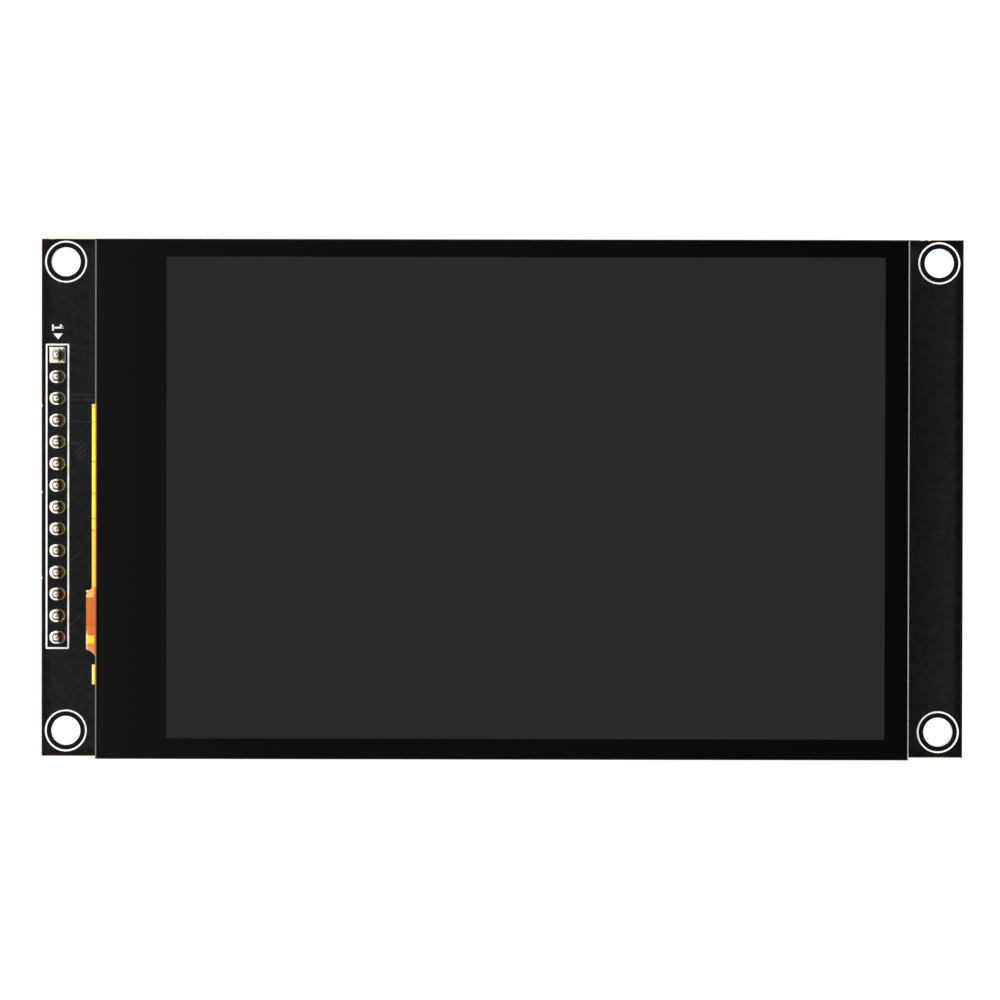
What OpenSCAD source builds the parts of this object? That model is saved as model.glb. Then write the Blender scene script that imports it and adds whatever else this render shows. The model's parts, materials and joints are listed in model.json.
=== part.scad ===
// Colour display module: a TFT panel with a capacitive touch panel, bonded to a circuit board.
// The origin is the middle of the four mounting holes, on the board's rear face.
// +Z is the way that the display faces. The pin header runs along Y near the -X edge,
// and the memory card goes in at the +X edge, on the rear.

/* [Circuit board] */
// Width of the board along X
board_w = 107.7; // [104:0.1:140]
// Height of the board along Y
board_h = 60.5; // [56:0.1:90]
// Thickness of the board
board_t = 1.6; // [1:0.1:2.4]
// Distance from the mounting holes to the short edge beside them
hole_inset_x = 2.85; // [2.6:0.05:5]
// Distance from the upper mounting holes to the upper edge
hole_inset_top = 2.7; // [2.5:0.05:5]
// Distance from the lower mounting holes to the lower edge
hole_inset_bottom = 3; // [2.5:0.05:5]
// Diameter of the mounting holes
hole_d = 3.4; // [2.2:0.1:4.2]

/* [Pin header] */
// Number of pins
pin_count = 14; // [2:1:16]
// Pitch of the pins
pin_pitch = 2.54; // [2.2:0.01:3]
// Side of a square pin
pin_w = 0.64; // [0.5:0.01:0.7]
// Length of the chamfer at a pin's ends
pin_tip = 0.3; // [0.1:0.05:0.4]
// Length of a pin below the housing
pin_reach = 6; // [4:0.1:12]
// Length of a pin above the front of the board
pin_proud = 1.4; // [1:0.1:2.5]
// Clearance between a pin's corners and its plated hole
pin_hole_fit = 0.05; // [0.02:0.01:0.15]
// Distance from the pins to the short edge beside them
pin_inset = 1.85; // [1.3:0.05:2.3]
// Width of the header's housing
housing_w = 2.5; // [2:0.05:2.6]
// Height of the header's housing
housing_h = 2.54; // [1.5:0.01:3.5]
// Chamfer between the cells of the housing
housing_chamfer = 0.5; // [0.2:0.05:0.7]
// Length of a solder pad, across the row of pins
pad_l = 1.87; // [1.5:0.01:1.9]
// Width of a solder pad, along the row of pins
pad_w = 1.5; // [1.3:0.01:1.8]
// Height of a solder joint above the board
joint_h = 0.95; // [0.6:0.05:1]
// Thickness of a solder joint's neck at a pin's corners
joint_neck = 0.05; // [0.03:0.01:0.1]

/* [Cover glass] */
// Width of the cover glass along X
glass_w = 94.2; // [75:0.1:94.5]
// Height of the cover glass along Y
glass_h = 60.2; // [50:0.1:80]
// Thickness of the cover glass
cover_t = 0.7; // [0.5:0.05:1.1]
// Ground bevel along the edges of the cover glass
cover_bevel = 0.15; // [0.05:0.01:0.2]
// Distance by which the display's middle lies below the middle of the mounting holes
display_drop = 0.25; // [0:0.01:1]
// Border from the left edge of the glass to the view area
border_left = 8.24; // [7:0.01:12]
// Border from the right edge of the glass to the view area
border_right = 2.83; // [2.5:0.01:8]
// Border from the upper edge of the glass to the view area
border_top = 2.05; // [1.9:0.01:6]
// Border from the lower edge of the glass to the view area
border_bottom = 2.41; // [1.9:0.01:6]

/* [Layers of the display] */
// Thickness of the foam tape between board and display
tape_t = 0.8; // [0.7:0.05:1.1]
// Thickness of the backlight tray's steel sheet
tray_t = 0.2; // [0.15:0.01:0.3]
// Thickness of the reflector sheet
reflector_t = 0.1; // [0.05:0.01:0.2]
// Thickness of the light guide
guide_t = 0.6; // [0.4:0.05:0.8]
// Thickness of the diffuser film
diffuser_t = 0.1; // [0.06:0.01:0.15]
// Thickness of each prism film
prism_t = 0.1; // [0.06:0.01:0.15]
// Thickness of the light-blocking tape round the panel's rear
rim_tape_t = 0.06; // [0.05:0.01:0.12]
// Thickness of each polarizer
polarizer_t = 0.13; // [0.1:0.01:0.2]
// Thickness of each of the panel's two glasses
panel_glass_t = 0.5; // [0.3:0.05:0.7]
// Thickness of the adhesive frame between panel and touch sensor
gasket_t = 0.3; // [0.2:0.05:0.6]
// Thickness of the touch sensor
sensor_t = 0.55; // [0.4:0.05:1.1]
// Thickness of the clear adhesive under the cover glass
clear_adhesive_t = 0.2; // [0.1:0.05:0.3]
// Thickness of the black border printed under the cover glass
print_t = 0.04; // [0.02:0.01:0.08]

/* [Outlines in the display] */
// Distance from the glass edge to the tray, along X
tray_inset_x = 0.55; // [0.4:0.05:2]
// Distance from the glass edge to the tray, along Y
tray_inset_y = 0.5; // [0.4:0.05:2]
// Outer radius of the folds in the tray
tray_fold_r = 0.35; // [0.32:0.01:0.5]
// Notch between two walls at a corner of the tray
tray_notch = 0.9; // [0.6:0.1:2]
// Wall of the plastic frame round the panel
frame_wall = 0.35; // [0.3:0.01:0.5]
// Width of the frame's ledge under the panel
frame_ledge = 0.8; // [0.6:0.05:1]
// Clearance round the frame in the tray
frame_fit = 0.05; // [0.02:0.01:0.1]
// Clearance round the panel and the films in the frame
panel_fit = 0.1; // [0.05:0.01:0.2]
// Length of the bumps that lock the frame in the tray's windows
lock_l = 3; // [2:0.1:6]
// Height of the bumps that lock the frame in the tray's windows
lock_h = 0.5; // [0.3:0.05:0.6]
// Height of the bumps above the tray's floor
lock_rise = 0.5; // [0.3:0.05:0.8]
// Distance from an end of the panel's rear glass to its front glass, for the driver chip
panel_step = 4.3; // [4:0.1:6]
// Inset of the polarizers from the edge of their glass
polarizer_inset = 0.3; // [0.1:0.05:0.5]
// Inset of the touch sensor from the edge of the cover glass
sensor_inset_x = 0.7; // [0.5:0.05:1.2]
// Inset of the touch sensor from the cover glass, above and below
sensor_inset_y = 0.5; // [0.3:0.05:1.2]
// Width of the touch gasket's strips
gasket_w = 0.7; // [0.5:0.05:0.8]
// Width of the foam tape strips
tape_w = 6; // [3:0.5:6.5]
// Distance from the edge of the tray to the foam tape
tape_inset = 2.5; // [1:0.5:3]
// Distance from the longest tail to the foam tape
tape_gap = 0.4; // [0.2:0.1:4]

/* [Backlight] */
// Number of LEDs
led_count = 8; // [2:1:8]
// Depth of an LED
led_d = 1; // [0.8:0.1:1.2]
// Length of an LED along the edge of the light guide
led_l = 3.8; // [2:0.1:4]
// Width of the LED strip
strip_w = 2.6; // [2:0.1:4]
// Gap between the LEDs and the light guide
led_gap = 0.05; // [0.02:0.01:0.2]

/* [Flexible circuits] */
// Thickness of the flexible circuits
flex_t = 0.12; // [0.1:0.01:0.15]
// Length of flexible circuit bonded to a glass
bond_l = 1.5; // [1:0.1:1.6]
// Radius of the bends that lead a tail down to the board
tail_bend_r = 0.6; // [0.55:0.05:1]
// Width of the panel's flexible circuit
lcd_flex_w = 21.4; // [14:0.1:26]
// Middle of the panel's flexible circuit above the middle of the mounting holes
lcd_flex_y = 0.05; // [-0.1:0.05:0.5]
// Overhang of the panel's flexible circuit beyond the cover glass
lcd_flex_out = 0.69; // [0.6:0.01:0.8]
// Length of the panel's tail under the display
lcd_tail_l = 12; // [8:0.5:14]
// Width of the touch panel's flexible circuit at its fold
touch_flex_w = 6.85; // [5.4:0.05:8.5]
// Gap between the panel's and the touch panel's flexible circuits
touch_flex_gap = 0.3; // [0.1:0.01:1]
// Overhang of the touch panel's flexible circuit beyond the cover glass
touch_flex_out = 1.32; // [1.2:0.01:1.5]
// Radius of the fillets where it widens towards the glass
touch_flex_fillet = 1.4; // [0.5:0.1:1.6]
// Length of the touch panel's tail under the display
touch_tail_l = 14.5; // [13:0.5:15]
// Width of the backlight's tail
backlight_flex_w = 2.3; // [2:0.1:3]
// Gap between the touch panel's flexible circuit and the backlight's tail
backlight_flex_gap = 0.4; // [0.1:0.01:2]
// Overhang of the backlight's tail beyond the cover glass
backlight_flex_out = 0.72; // [0.6:0.01:0.8]
// Length of the backlight's tail under the display
backlight_tail_l = 7; // [6:0.5:12]
// Pitch of the solder joints on the tails
tail_pitch = 1; // [0.8:0.05:1.2]
// Length of the driver chip on the panel's rear glass
driver_l = 24; // [16:0.5:28]
// Width of the driver chip
driver_w = 1.2; // [0.8:0.1:1.3]
// Thickness of the driver chip
driver_t = 0.3; // [0.2:0.05:0.4]
// Side of the touch controller
touch_chip_w = 5; // [3:0.5:5]
// Thickness of the touch controller
touch_chip_t = 0.55; // [0.4:0.05:0.55]

/* [Card socket] */
// Length of the socket along X
socket_l = 15; // [14:0.1:16]
// Width of the rails at the sides of the card
rail_w = 1.2; // [1:0.1:2]
// Height of the socket
socket_h = 1.85; // [1.7:0.05:2.4]
// Distance from the mouth of the socket to the short edge of the board
socket_inset = 0.4; // [0:0.1:2]
// Width of a memory card
card_w = 11; // [9:0.1:14]
// Clearance at each side of the card
card_fit = 0.1; // [0.05:0.01:0.2]
// Thickness of the socket's steel shell
shell_t = 0.2; // [0.15:0.01:0.25]
// Thickness of the socket's plastic floor
floor_t = 0.5; // [0.4:0.05:0.7]
// Thickness of the wall at the back of the socket
socket_back_t = 1.5; // [1:0.1:2]
// Number of contacts in the socket
contact_count = 8; // [4:1:8]
// Pitch of the contacts
contact_pitch = 1.1; // [1:0.05:1.15]
// Width of a contact
contact_w = 0.5; // [0.3:0.05:0.6]
// Thickness of a contact
contact_t = 0.15; // [0.1:0.01:0.2]
// Distance from the back of the socket to the foot of the spring contacts
contact_back = 5.5; // [4:0.1:6]
// Length of the spring contacts
contact_l = 4.2; // [3:0.1:5]
// Rise of the spring contacts above the socket's floor
contact_rise = 0.45; // [0.2:0.05:0.6]
// Length of the contacts' solder tails behind the socket
contact_tail_l = 0.9; // [0.6:0.1:1.5]
// Distance from the back of the socket to the locating pegs
peg_back = 3; // [2:0.1:5]
// Diameter of the socket's locating pegs
peg_d = 0.9; // [0.7:0.05:1]
// Length of the socket's locating pegs
peg_l = 0.9; // [0.5:0.05:1]
// Distance from the sides of the socket to the locating pegs
peg_side = 1.6; // [1.2:0.1:3]
// Radius of the bay in the shell's front edge, where a finger reaches the card
mouth_r = 3.2; // [2:0.1:4]
// Length of the spring tongues in the shell
tongue_l = 4.4; // [2:0.1:5]
// Width of the spring tongues
tongue_w = 1.5; // [0.8:0.1:2]
// Width of the slots round the spring tongues
tongue_slot = 0.3; // [0.2:0.05:0.5]
// Length of the shell's solder feet
foot_l = 1.6; // [1:0.1:2.4]
// Width of the shell's solder feet
foot_w = 0.9; // [0.5:0.05:1.2]

/* [Parts on the rear] */
// Distance from the pins to the column of resistors
resistor_x = 6; // [5:0.5:8]
// Number of resistors
resistor_count = 9; // [1:1:12]
// Pitch of the resistors
resistor_pitch = 2.2; // [1.6:0.1:3]
// Number of capacitors
capacitor_count = 5; // [1:1:6]
// Pitch of the capacitors
capacitor_pitch = 2.6; // [1.6:0.1:3]
// Length of a resistor or capacitor
small_l = 1.6; // [1.2:0.1:2]
// Width of a resistor or capacitor
small_w = 0.8; // [0.6:0.05:1]
// Length of each plated end
terminal_l = 0.3; // [0.2:0.05:0.4]
// Height of a resistor
resistor_h = 0.45; // [0.35:0.05:0.6]
// Height of a capacitor
capacitor_h = 0.8; // [0.5:0.05:1]
// Distance from the pins to the middle of the chips
chip_x = 14; // [13:0.5:20]
// Thickness of the chips' leads
lead_t = 0.15; // [0.1:0.01:0.25]
// Reach of the chips' leads beyond their bodies
lead_reach = 1.1; // [0.9:0.05:1.5]
// Middle of the level shifter above the middle of the mounting holes
shifter_y = 9; // [8:0.5:16]
// Middle of the regulator above the middle of the mounting holes
regulator_y = -8; // [-9:0.5:-2]
// Middle of the transistor above the middle of the mounting holes
transistor_y = -17; // [-24:0.5:-15]

/* [Hidden] */
$fn = 48;

cut = 1;
arc_steps = 20;

// Places on the board
hole_pitch_x = board_w - 2 * hole_inset_x;
hole_pitch_y = board_h - hole_inset_top - hole_inset_bottom;
board_top = hole_pitch_y / 2 + hole_inset_top;
pin_x = -board_w / 2 + pin_inset;
pin_y = [for (i = [0 : pin_count - 1]) (i - (pin_count - 1) / 2) * pin_pitch];
pin_low = -housing_h - pin_reach;
pin_high = board_t + pin_proud;
pin_hole_d = pin_w * sqrt(2) + 2 * pin_hole_fit;

// Heights of the layers, from the front of the board
tray_z = board_t + tape_t;
reflector_z = tray_z + tray_t;
guide_z = reflector_z + reflector_t;
diffuser_z = guide_z + guide_t;
lower_prism_z = diffuser_z + diffuser_t;
upper_prism_z = lower_prism_z + prism_t;
rim_z = upper_prism_z + prism_t;
rear_polarizer_z = rim_z + rim_tape_t;
tft_z = rear_polarizer_z + polarizer_t;
filter_z = tft_z + panel_glass_t;
front_polarizer_z = filter_z + panel_glass_t;
gasket_z = front_polarizer_z + polarizer_t;
sensor_z = gasket_z + gasket_t;
clear_adhesive_z = sensor_z + sensor_t;
cover_z = clear_adhesive_z + clear_adhesive_t;

// Outlines of the layers
tray_w = glass_w - 2 * tray_inset_x;
tray_h = glass_h - 2 * tray_inset_y;
frame_w = tray_w - 2 * (tray_t + frame_fit);
frame_h = tray_h - 2 * (tray_t + frame_fit);
pocket_w = frame_w - 2 * frame_wall;
pocket_h = frame_h - 2 * frame_wall;
window_w = pocket_w - 2 * frame_ledge;
window_h = pocket_h - 2 * frame_ledge;
panel_w = pocket_w - 2 * panel_fit;
panel_h = pocket_h - 2 * panel_fit;
film_h = window_h - 2 * panel_fit;
film_right = window_w / 2 - panel_fit;
strip_left = -window_w / 2 + panel_fit;
led_left = strip_left;
guide_left = led_left + led_d + led_gap;
film_left = strip_left + strip_w + panel_fit;
filter_left = -panel_w / 2 + panel_step;
panel_right = panel_w / 2;
polarizer_left = filter_left + polarizer_inset;
polarizer_right = panel_right - polarizer_inset;
polarizer_h = panel_h - 2 * polarizer_inset;
sensor_w = glass_w - 2 * sensor_inset_x;
sensor_h = glass_h - 2 * sensor_inset_y;

// Folded tails
glass_left = -glass_w / 2;
tail_z = tray_z - flex_t;
tail_drop = tail_z - board_t;
tail_angle = acos(1 - tail_drop / (2 * tail_bend_r));
tail_run = 2 * tail_bend_r * sin(tail_angle);
solder_l = 1.8;
solder_t = 0.1;
solder_w = 0.6;
solder_lap = 1.2;
solder_slope = 0.1;
root_inset = 0.05;
touch_root_x = glass_left + root_inset;
touch_flex_y = lcd_flex_y - lcd_flex_w / 2 - touch_flex_gap - touch_flex_w / 2;
backlight_flex_y = touch_flex_y - touch_flex_w / 2 - touch_flex_fillet
    - backlight_flex_gap - backlight_flex_w / 2;
tail_room = max(lcd_tail_l, touch_tail_l, backlight_tail_l) + solder_w + tape_gap;

// Locks between frame and tray: distance from the middle, along X
lock_x = tray_w / 3;
lock_fit = 0.1;
lock_z = reflector_z + lock_rise;

// Card socket, in its own frame: X from the mouth inwards is negative, Z is away from the board
socket_x = board_w / 2 - socket_inset;
socket_in_w = card_w + 2 * card_fit;
socket_body_w = socket_in_w + 2 * rail_w;
socket_w = socket_body_w + 2 * shell_t;
socket_body_h = socket_h - shell_t;
peg_x = -socket_l + peg_back;
peg_y = socket_w / 2 - peg_side;
peg_fit = 0.05;
contact_x = -socket_l + contact_back;
contact_slot_w = contact_w + 2 * card_fit;
contact_crest = 0.75;
contact_tip = 0.9;
contact_dip = 0.2;
floor_setback = 0.6;
rail_setback = 1.4;
lip = 0.3;
tongue_x = -6;
tongue_y = 3.4;
foot_x = [-socket_l + 1.5, -3];
peep_x = -socket_l + 3.4;
peep = [1.6, 8.4];
contact_y = [for (i = [0 : contact_count - 1]) (i - (contact_count - 1) / 2) * contact_pitch];

// Solder joints of the header: the fillet's foot before the pad's outline trims it, and its hollow
joint_spread = 0.06;
joint_edge = 0.05;
joint_hollow_r = 1.02 * joint_h;
joint_neck_r = pin_w * sqrt(2) / 2 + joint_neck;

// Chips on the rear: [length along Y, width along X, height above the board]
shifter = [6.5, 4.4, 1];
shifter_pitch = 0.65;
shifter_pairs = 10;
shifter_lead_w = 0.3;
regulator = [6.5, 3.5, 1.6];
regulator_pitch = 2.3;
regulator_lead_w = 0.7;
regulator_tab_w = 3;
transistor = [2.9, 1.3, 1];
transistor_pitch = 1.9;
transistor_lead_w = 0.45;
standoff = 0.1;
draft = 0.12;
dimple_inset = 0.6;
dimple_d = 0.5;
dimple_depth = 0.05;
lead_knee = 0.3 * lead_reach;
lead_foot = 0.5 * lead_reach;
resistor_y = 6;
capacitor_gap = 7;
capacitor_x = chip_x + capacitor_gap;
capacitor_y = -4;

// ---- Shared shapes ----

// Everything on the display is placed from the middle of the cover glass
module on_display(z = 0) {
    translate([0, -display_drop, z]) children();
}

// A flat sheet from x0 to x1, centred in Y
module sheet(x0, x1, h, t) {
    translate([x0, -h / 2, 0]) cube([x1 - x0, h, t]);
}

// A profile drawn in X and Z, extruded along Y about y = 0
module along_y(l) {
    rotate([90, 0, 0]) linear_extrude(l, center = true) children();
}

// A profile drawn in Y and Z, extruded along X about x = 0
module along_x(l) {
    rotate([90, 0, 90]) linear_extrude(l, center = true) children();
}

// Part of a ring, from angle a0 to angle a1, with its middle line at radius r
module arc_strip(r, t, a0, a1) {
    reach = 2 * (r + t);
    middle = (a0 + a1) / 2;
    intersection() {
        difference() {
            circle(r + t / 2);
            circle(r - t / 2);
        }
        polygon([[0, 0],
                 [reach * cos(a0), reach * sin(a0)],
                 [reach * cos(middle), reach * sin(middle)],
                 [reach * cos(a1), reach * sin(a1)]]);
    }
}

// Points along an arc
function arc(c, r, a0, a1) =
    [for (i = [0 : arc_steps]) let (a = a0 + (a1 - a0) * i / arc_steps) c + r * [cos(a), sin(a)]];

// Side view of a folded flexible circuit. It leaves its bond at x_root with its underside at z_top,
// folds round at x_out, runs back under the tray and steps down to the board, to end at x_end.
module folded_profile(x_root, z_top, x_out, x_end) {
    outer_r = (z_top + flex_t - tail_z) / 2;
    fold = [x_out + outer_r, tail_z + outer_r];
    x_step = x_end - solder_l - tail_run;
    down = [x_step, tail_z + flex_t / 2 - tail_bend_r];
    level = [x_step + tail_run, board_t + flex_t / 2 + tail_bend_r];
    inner_bend = tail_bend_r - flex_t / 2;
    outer_bend = tail_bend_r + flex_t / 2;
    polygon(concat([[x_root, z_top + flex_t]],
                   arc(fold, outer_r, 90, 270),
                   arc(down, inner_bend, 90, 90 - tail_angle),
                   arc(level, outer_bend, 270 - tail_angle, 270),
                   [[x_end, board_t], [x_end, board_t + flex_t]],
                   arc(level, inner_bend, 270, 270 - tail_angle),
                   arc(down, outer_bend, 90 - tail_angle, 90),
                   arc(fold, outer_r - flex_t, 270, 90),
                   [[x_root, z_top]]));
}

// A moulded chip body with drafted sides, standing at z0
module moulded(size, z0) {
    l = size[0] / 2;
    w = size[1] / 2;
    z1 = size[2];
    zm = (z0 + z1) / 2;
    intersection() {
        along_x(size[1]) polygon([[-l + draft, z0], [l - draft, z0], [l, zm],
                                  [l - draft, z1], [-l + draft, z1], [-l, zm]]);
        along_y(size[0]) polygon([[-w + draft, z0], [w - draft, z0], [w, zm],
                                  [w - draft, z1], [-w + draft, z1], [-w, zm]]);
    }
}

// A gull-wing lead that leaves a body at x = 0, height z, and ends in a foot on the board
module gull_lead(w, z) {
    along_y(w)
        polygon([[0, z], [0, z + lead_t], [lead_knee, z + lead_t], [lead_foot + lead_t / 2, lead_t],
                 [lead_reach, lead_t], [lead_reach, 0], [lead_foot - lead_t / 2, 0],
                 [lead_knee - lead_t / 2, z]]);
}

// A place on the rear of the board, with Z away from the board
module on_rear(x, y) {
    translate([x, y, 0]) rotate([180, 0, 0]) children();
}

// ---- Board and header ----

module circuit_board() {
    color([0.1, 0.11, 0.12]) difference() {
        translate([-board_w / 2, board_top - board_h, 0]) cube([board_w, board_h, board_t]);
        for (x = [-1, 1], y = [-1, 1])
            translate([x * hole_pitch_x / 2, y * hole_pitch_y / 2, -cut])
                cylinder(d = hole_d, h = board_t + 2 * cut);
        for (y = pin_y)
            translate([pin_x, y, -cut]) cylinder(d = pin_hole_d, h = board_t + 2 * cut);
        on_rear(socket_x, 0) for (y = [-1, 1])
            translate([peg_x, y * peg_y, -board_t - cut])
                cylinder(d = peg_d + 2 * peg_fit, h = board_t + 2 * cut);
    }
}

// The housing is one strip of cells with a notch between each two
module header_housing() {
    half = housing_w / 2;
    step = pin_pitch / 2;
    c = housing_chamfer;
    right = [for (y = pin_y) each [[half - c, y - step], [half, y - step + c], [half, y + step - c]]];
    left = [for (i = [len(right) - 1 : -1 : 0]) [-right[i][0], right[i][1]]];
    top = pin_y[pin_count - 1] + step;
    outline = concat(right, [[half - c, top], [-half + c, top]], left);
    color([0.06, 0.06, 0.06]) difference() {
        translate([pin_x, 0, -housing_h]) linear_extrude(housing_h) polygon(outline);
        for (y = pin_y)
            translate([pin_x - pin_w / 2, y - pin_w / 2, -housing_h - cut])
                cube([pin_w, pin_w, housing_h + 2 * cut]);
    }
}

module pin_profile() {
    half = pin_w / 2;
    tip = half - pin_tip / 2;
    polygon([[-tip, pin_low], [tip, pin_low], [half, pin_low + pin_tip], [half, pin_high - pin_tip],
             [tip, pin_high], [-tip, pin_high], [-half, pin_high - pin_tip], [-half, pin_low + pin_tip]]);
}

module header_pins() {
    color([0.85, 0.75, 0.5])
        for (y = pin_y)
            translate([pin_x, y, 0]) intersection() {
                along_y(pin_w) pin_profile();
                along_x(pin_w) pin_profile();
            }
}

// Outline of a solder pad: square at the first pin, oblong at the others
module pad_outline(first) {
    if (first) {
        square(pad_l, center = true);
    } else {
        square([pad_l - pad_w, pad_w], center = true);
        for (x = [-1, 1]) translate([x * (pad_l - pad_w) / 2, 0]) circle(d = pad_w);
    }
}

// Half section of the solder's hollow fillet, from the pad's edge up to a neck round the pin
module fillet_section() {
    foot = [pad_l / 2 + joint_spread, joint_edge];
    neck = [joint_neck_r, joint_h];
    chord = neck - foot;
    rise = sqrt(joint_hollow_r * joint_hollow_r - (chord * chord) / 4);
    normal = [chord[1], -chord[0]] / norm(chord);
    centre = (foot + neck) / 2 + rise * normal;
    difference() {
        polygon([[0, 0], [foot[0], 0], foot, [foot[0], joint_h], [0, joint_h]]);
        translate(centre) circle(joint_hollow_r);
    }
}

module header_solder() {
    color([0.8, 0.8, 0.78])
        for (i = [0 : pin_count - 1])
            translate([pin_x, pin_y[i], 0]) difference() {
                union() {
                    cylinder(d = pin_hole_d, h = board_t);
                    translate([0, 0, board_t]) intersection() {
                        rotate_extrude() fillet_section();
                        linear_extrude(joint_h) pad_outline(i == pin_count - 1);
                    }
                }
                translate([-pin_w / 2, -pin_w / 2, -cut]) cube([pin_w, pin_w, board_t + joint_h + 2 * cut]);
            }
}

// ---- Backlight ----

// The tape leaves the folded tails free at the left
module foam_tape() {
    left = -tray_w / 2 + tail_room;
    right = tray_w / 2 - tape_inset;
    side_h = tray_h - 2 * tape_inset - 2 * tape_w - 2 * tape_w;
    color([0.85, 0.86, 0.85]) on_display(board_t) {
        for (y = [-1, 1])
            translate([left, y * (tray_h / 2 - tape_inset - tape_w / 2) - tape_w / 2, 0])
                cube([right - left, tape_w, tape_t]);
        translate([right - tape_w, -side_h / 2, 0]) cube([tape_w, side_h, tape_t]);
    }
}

// One folded wall of the tray: the fold and the upright, with the outside of the wall at x = 0
module tray_wall(l) {
    h = filter_z - tray_z;
    along_y(l) {
        translate([-tray_fold_r, tray_fold_r]) arc_strip(tray_fold_r - tray_t / 2, tray_t, 270, 360);
        translate([-tray_t, tray_fold_r]) square([tray_t, h - tray_fold_r]);
    }
}

module tray_lock_windows() {
    for (x = [-1, 1])
        translate([x * lock_x, 0, lock_z - tray_z + lock_h / 2])
            cube([lock_l + 2 * lock_fit, tray_h + 2 * cut, lock_h + 2 * lock_fit], center = true);
}

// Way out for the backlight's tail, through a wall that starts at x0
module tail_notch(x0, x1, z0) {
    translate([x0, backlight_flex_y + display_drop - backlight_flex_w / 2 - panel_fit, z0])
        cube([x1 - x0, backlight_flex_w + 2 * panel_fit, filter_z]);
}

module backlight_tray() {
    flat_w = tray_w - 2 * tray_fold_r;
    flat_h = tray_h - 2 * tray_fold_r;
    color([0.72, 0.73, 0.74]) on_display(tray_z) difference() {
        union() {
            translate([-flat_w / 2, -flat_h / 2, 0]) cube([flat_w, flat_h, tray_t]);
            translate([tray_w / 2, 0, 0]) tray_wall(tray_h - 2 * tray_notch);
            translate([-tray_w / 2, 0, 0]) rotate([0, 0, 180]) tray_wall(tray_h - 2 * tray_notch);
            translate([0, tray_h / 2, 0]) rotate([0, 0, 90]) tray_wall(tray_w - 2 * tray_notch);
            translate([0, -tray_h / 2, 0]) rotate([0, 0, -90]) tray_wall(tray_w - 2 * tray_notch);
        }
        tray_lock_windows();
        tail_notch(-tray_w / 2 - cut, -tray_w / 2 + tray_fold_r, diffuser_z - tray_z);
    }
}

module frame_block(w, h, z0, z1) {
    translate([-w / 2, -h / 2, z0]) cube([w, h, z1 - z0]);
}

// The frame stands on the tray, holds the films inside its ledge and the panel inside its wall
module backlight_frame() {
    foot_inset = tray_fold_r - tray_t;
    foot_h = reflector_z + foot_inset;
    color([0.93, 0.93, 0.9]) on_display() difference() {
        union() {
            frame_block(frame_w - 2 * foot_inset, frame_h - 2 * foot_inset, reflector_z, foot_h);
            frame_block(frame_w, frame_h, foot_h, filter_z);
            for (x = [-1, 1], y = [-1, 1])
                translate([x * lock_x, y * frame_h / 2, lock_z + lock_h / 2])
                    cube([lock_l, 2 * (frame_fit + tray_t), lock_h], center = true);
        }
        frame_block(window_w, window_h, reflector_z - cut, filter_z);
        frame_block(pocket_w, pocket_h, rim_z, filter_z + cut);
        tail_notch(-frame_w / 2 - cut, strip_left, diffuser_z);
    }
}

module reflector_sheet() {
    color([0.96, 0.96, 0.96])
        on_display(reflector_z) sheet(strip_left, film_right, film_h, reflector_t);
}

module light_guide() {
    color([0.9, 0.95, 0.97, 0.6]) on_display(guide_z) sheet(guide_left, film_right, film_h, guide_t);
}

module backlight_leds() {
    step = film_h / led_count;
    color([0.98, 0.95, 0.8])
        on_display(guide_z)
            for (i = [0 : led_count - 1])
                translate([led_left, -film_h / 2 + (i + 0.5) * step - led_l / 2, 0])
                    cube([led_d, led_l, guide_t]);
}

module backlight_flex() {
    x_out = glass_left - backlight_flex_out;
    x_end = -tray_w / 2 + backlight_tail_l;
    color([0.95, 0.85, 0.5]) {
        on_display(diffuser_z) sheet(strip_left, strip_left + strip_w, film_h, flex_t);
        translate([0, backlight_flex_y, 0]) along_y(backlight_flex_w)
            folded_profile(strip_left, diffuser_z, x_out, x_end);
    }
}

module diffuser_film() {
    color([0.95, 0.96, 0.97]) on_display(diffuser_z) sheet(film_left, film_right, film_h, diffuser_t);
}

module lower_prism_film() {
    color([0.85, 0.9, 0.95]) on_display(lower_prism_z) sheet(film_left, film_right, film_h, prism_t);
}

module upper_prism_film() {
    color([0.85, 0.9, 0.95]) on_display(upper_prism_z) sheet(film_left, film_right, film_h, prism_t);
}

module rim_tape() {
    color([0.08, 0.08, 0.08]) on_display(rim_z) difference() {
        frame_block(panel_w, panel_h, 0, rim_tape_t);
        frame_block(window_w, window_h, -cut, rim_tape_t + cut);
    }
}

// ---- Panel ----

module rear_polarizer() {
    color([0.25, 0.27, 0.3])
        on_display(rear_polarizer_z) sheet(polarizer_left, polarizer_right, polarizer_h, polarizer_t);
}

module tft_glass() {
    color([0.6, 0.7, 0.7]) on_display(tft_z) sheet(-panel_w / 2, panel_right, panel_h, panel_glass_t);
}

module color_filter_glass() {
    color([0.55, 0.65, 0.66])
        on_display(filter_z) sheet(filter_left, panel_right, panel_h, panel_glass_t);
}

module front_polarizer() {
    color([0.16, 0.16, 0.17])
        on_display(front_polarizer_z) sheet(polarizer_left, polarizer_right, polarizer_h, polarizer_t);
}

// The driver chip lies on the rear glass between the flexible circuit and the front glass
module driver_chip() {
    bonded = -panel_w / 2 + bond_l;
    color([0.45, 0.46, 0.48])
        on_display(filter_z)
            sheet((bonded + filter_left - driver_w) / 2, (bonded + filter_left + driver_w) / 2,
                  driver_l, driver_t);
}

module lcd_flex() {
    x_out = glass_left - lcd_flex_out;
    x_end = -tray_w / 2 + lcd_tail_l;
    color([0.98, 0.9, 0.3])
        translate([0, lcd_flex_y, 0]) along_y(lcd_flex_w)
            folded_profile(-panel_w / 2 + bond_l, filter_z, x_out, x_end);
}

// ---- Touch panel ----

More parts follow.
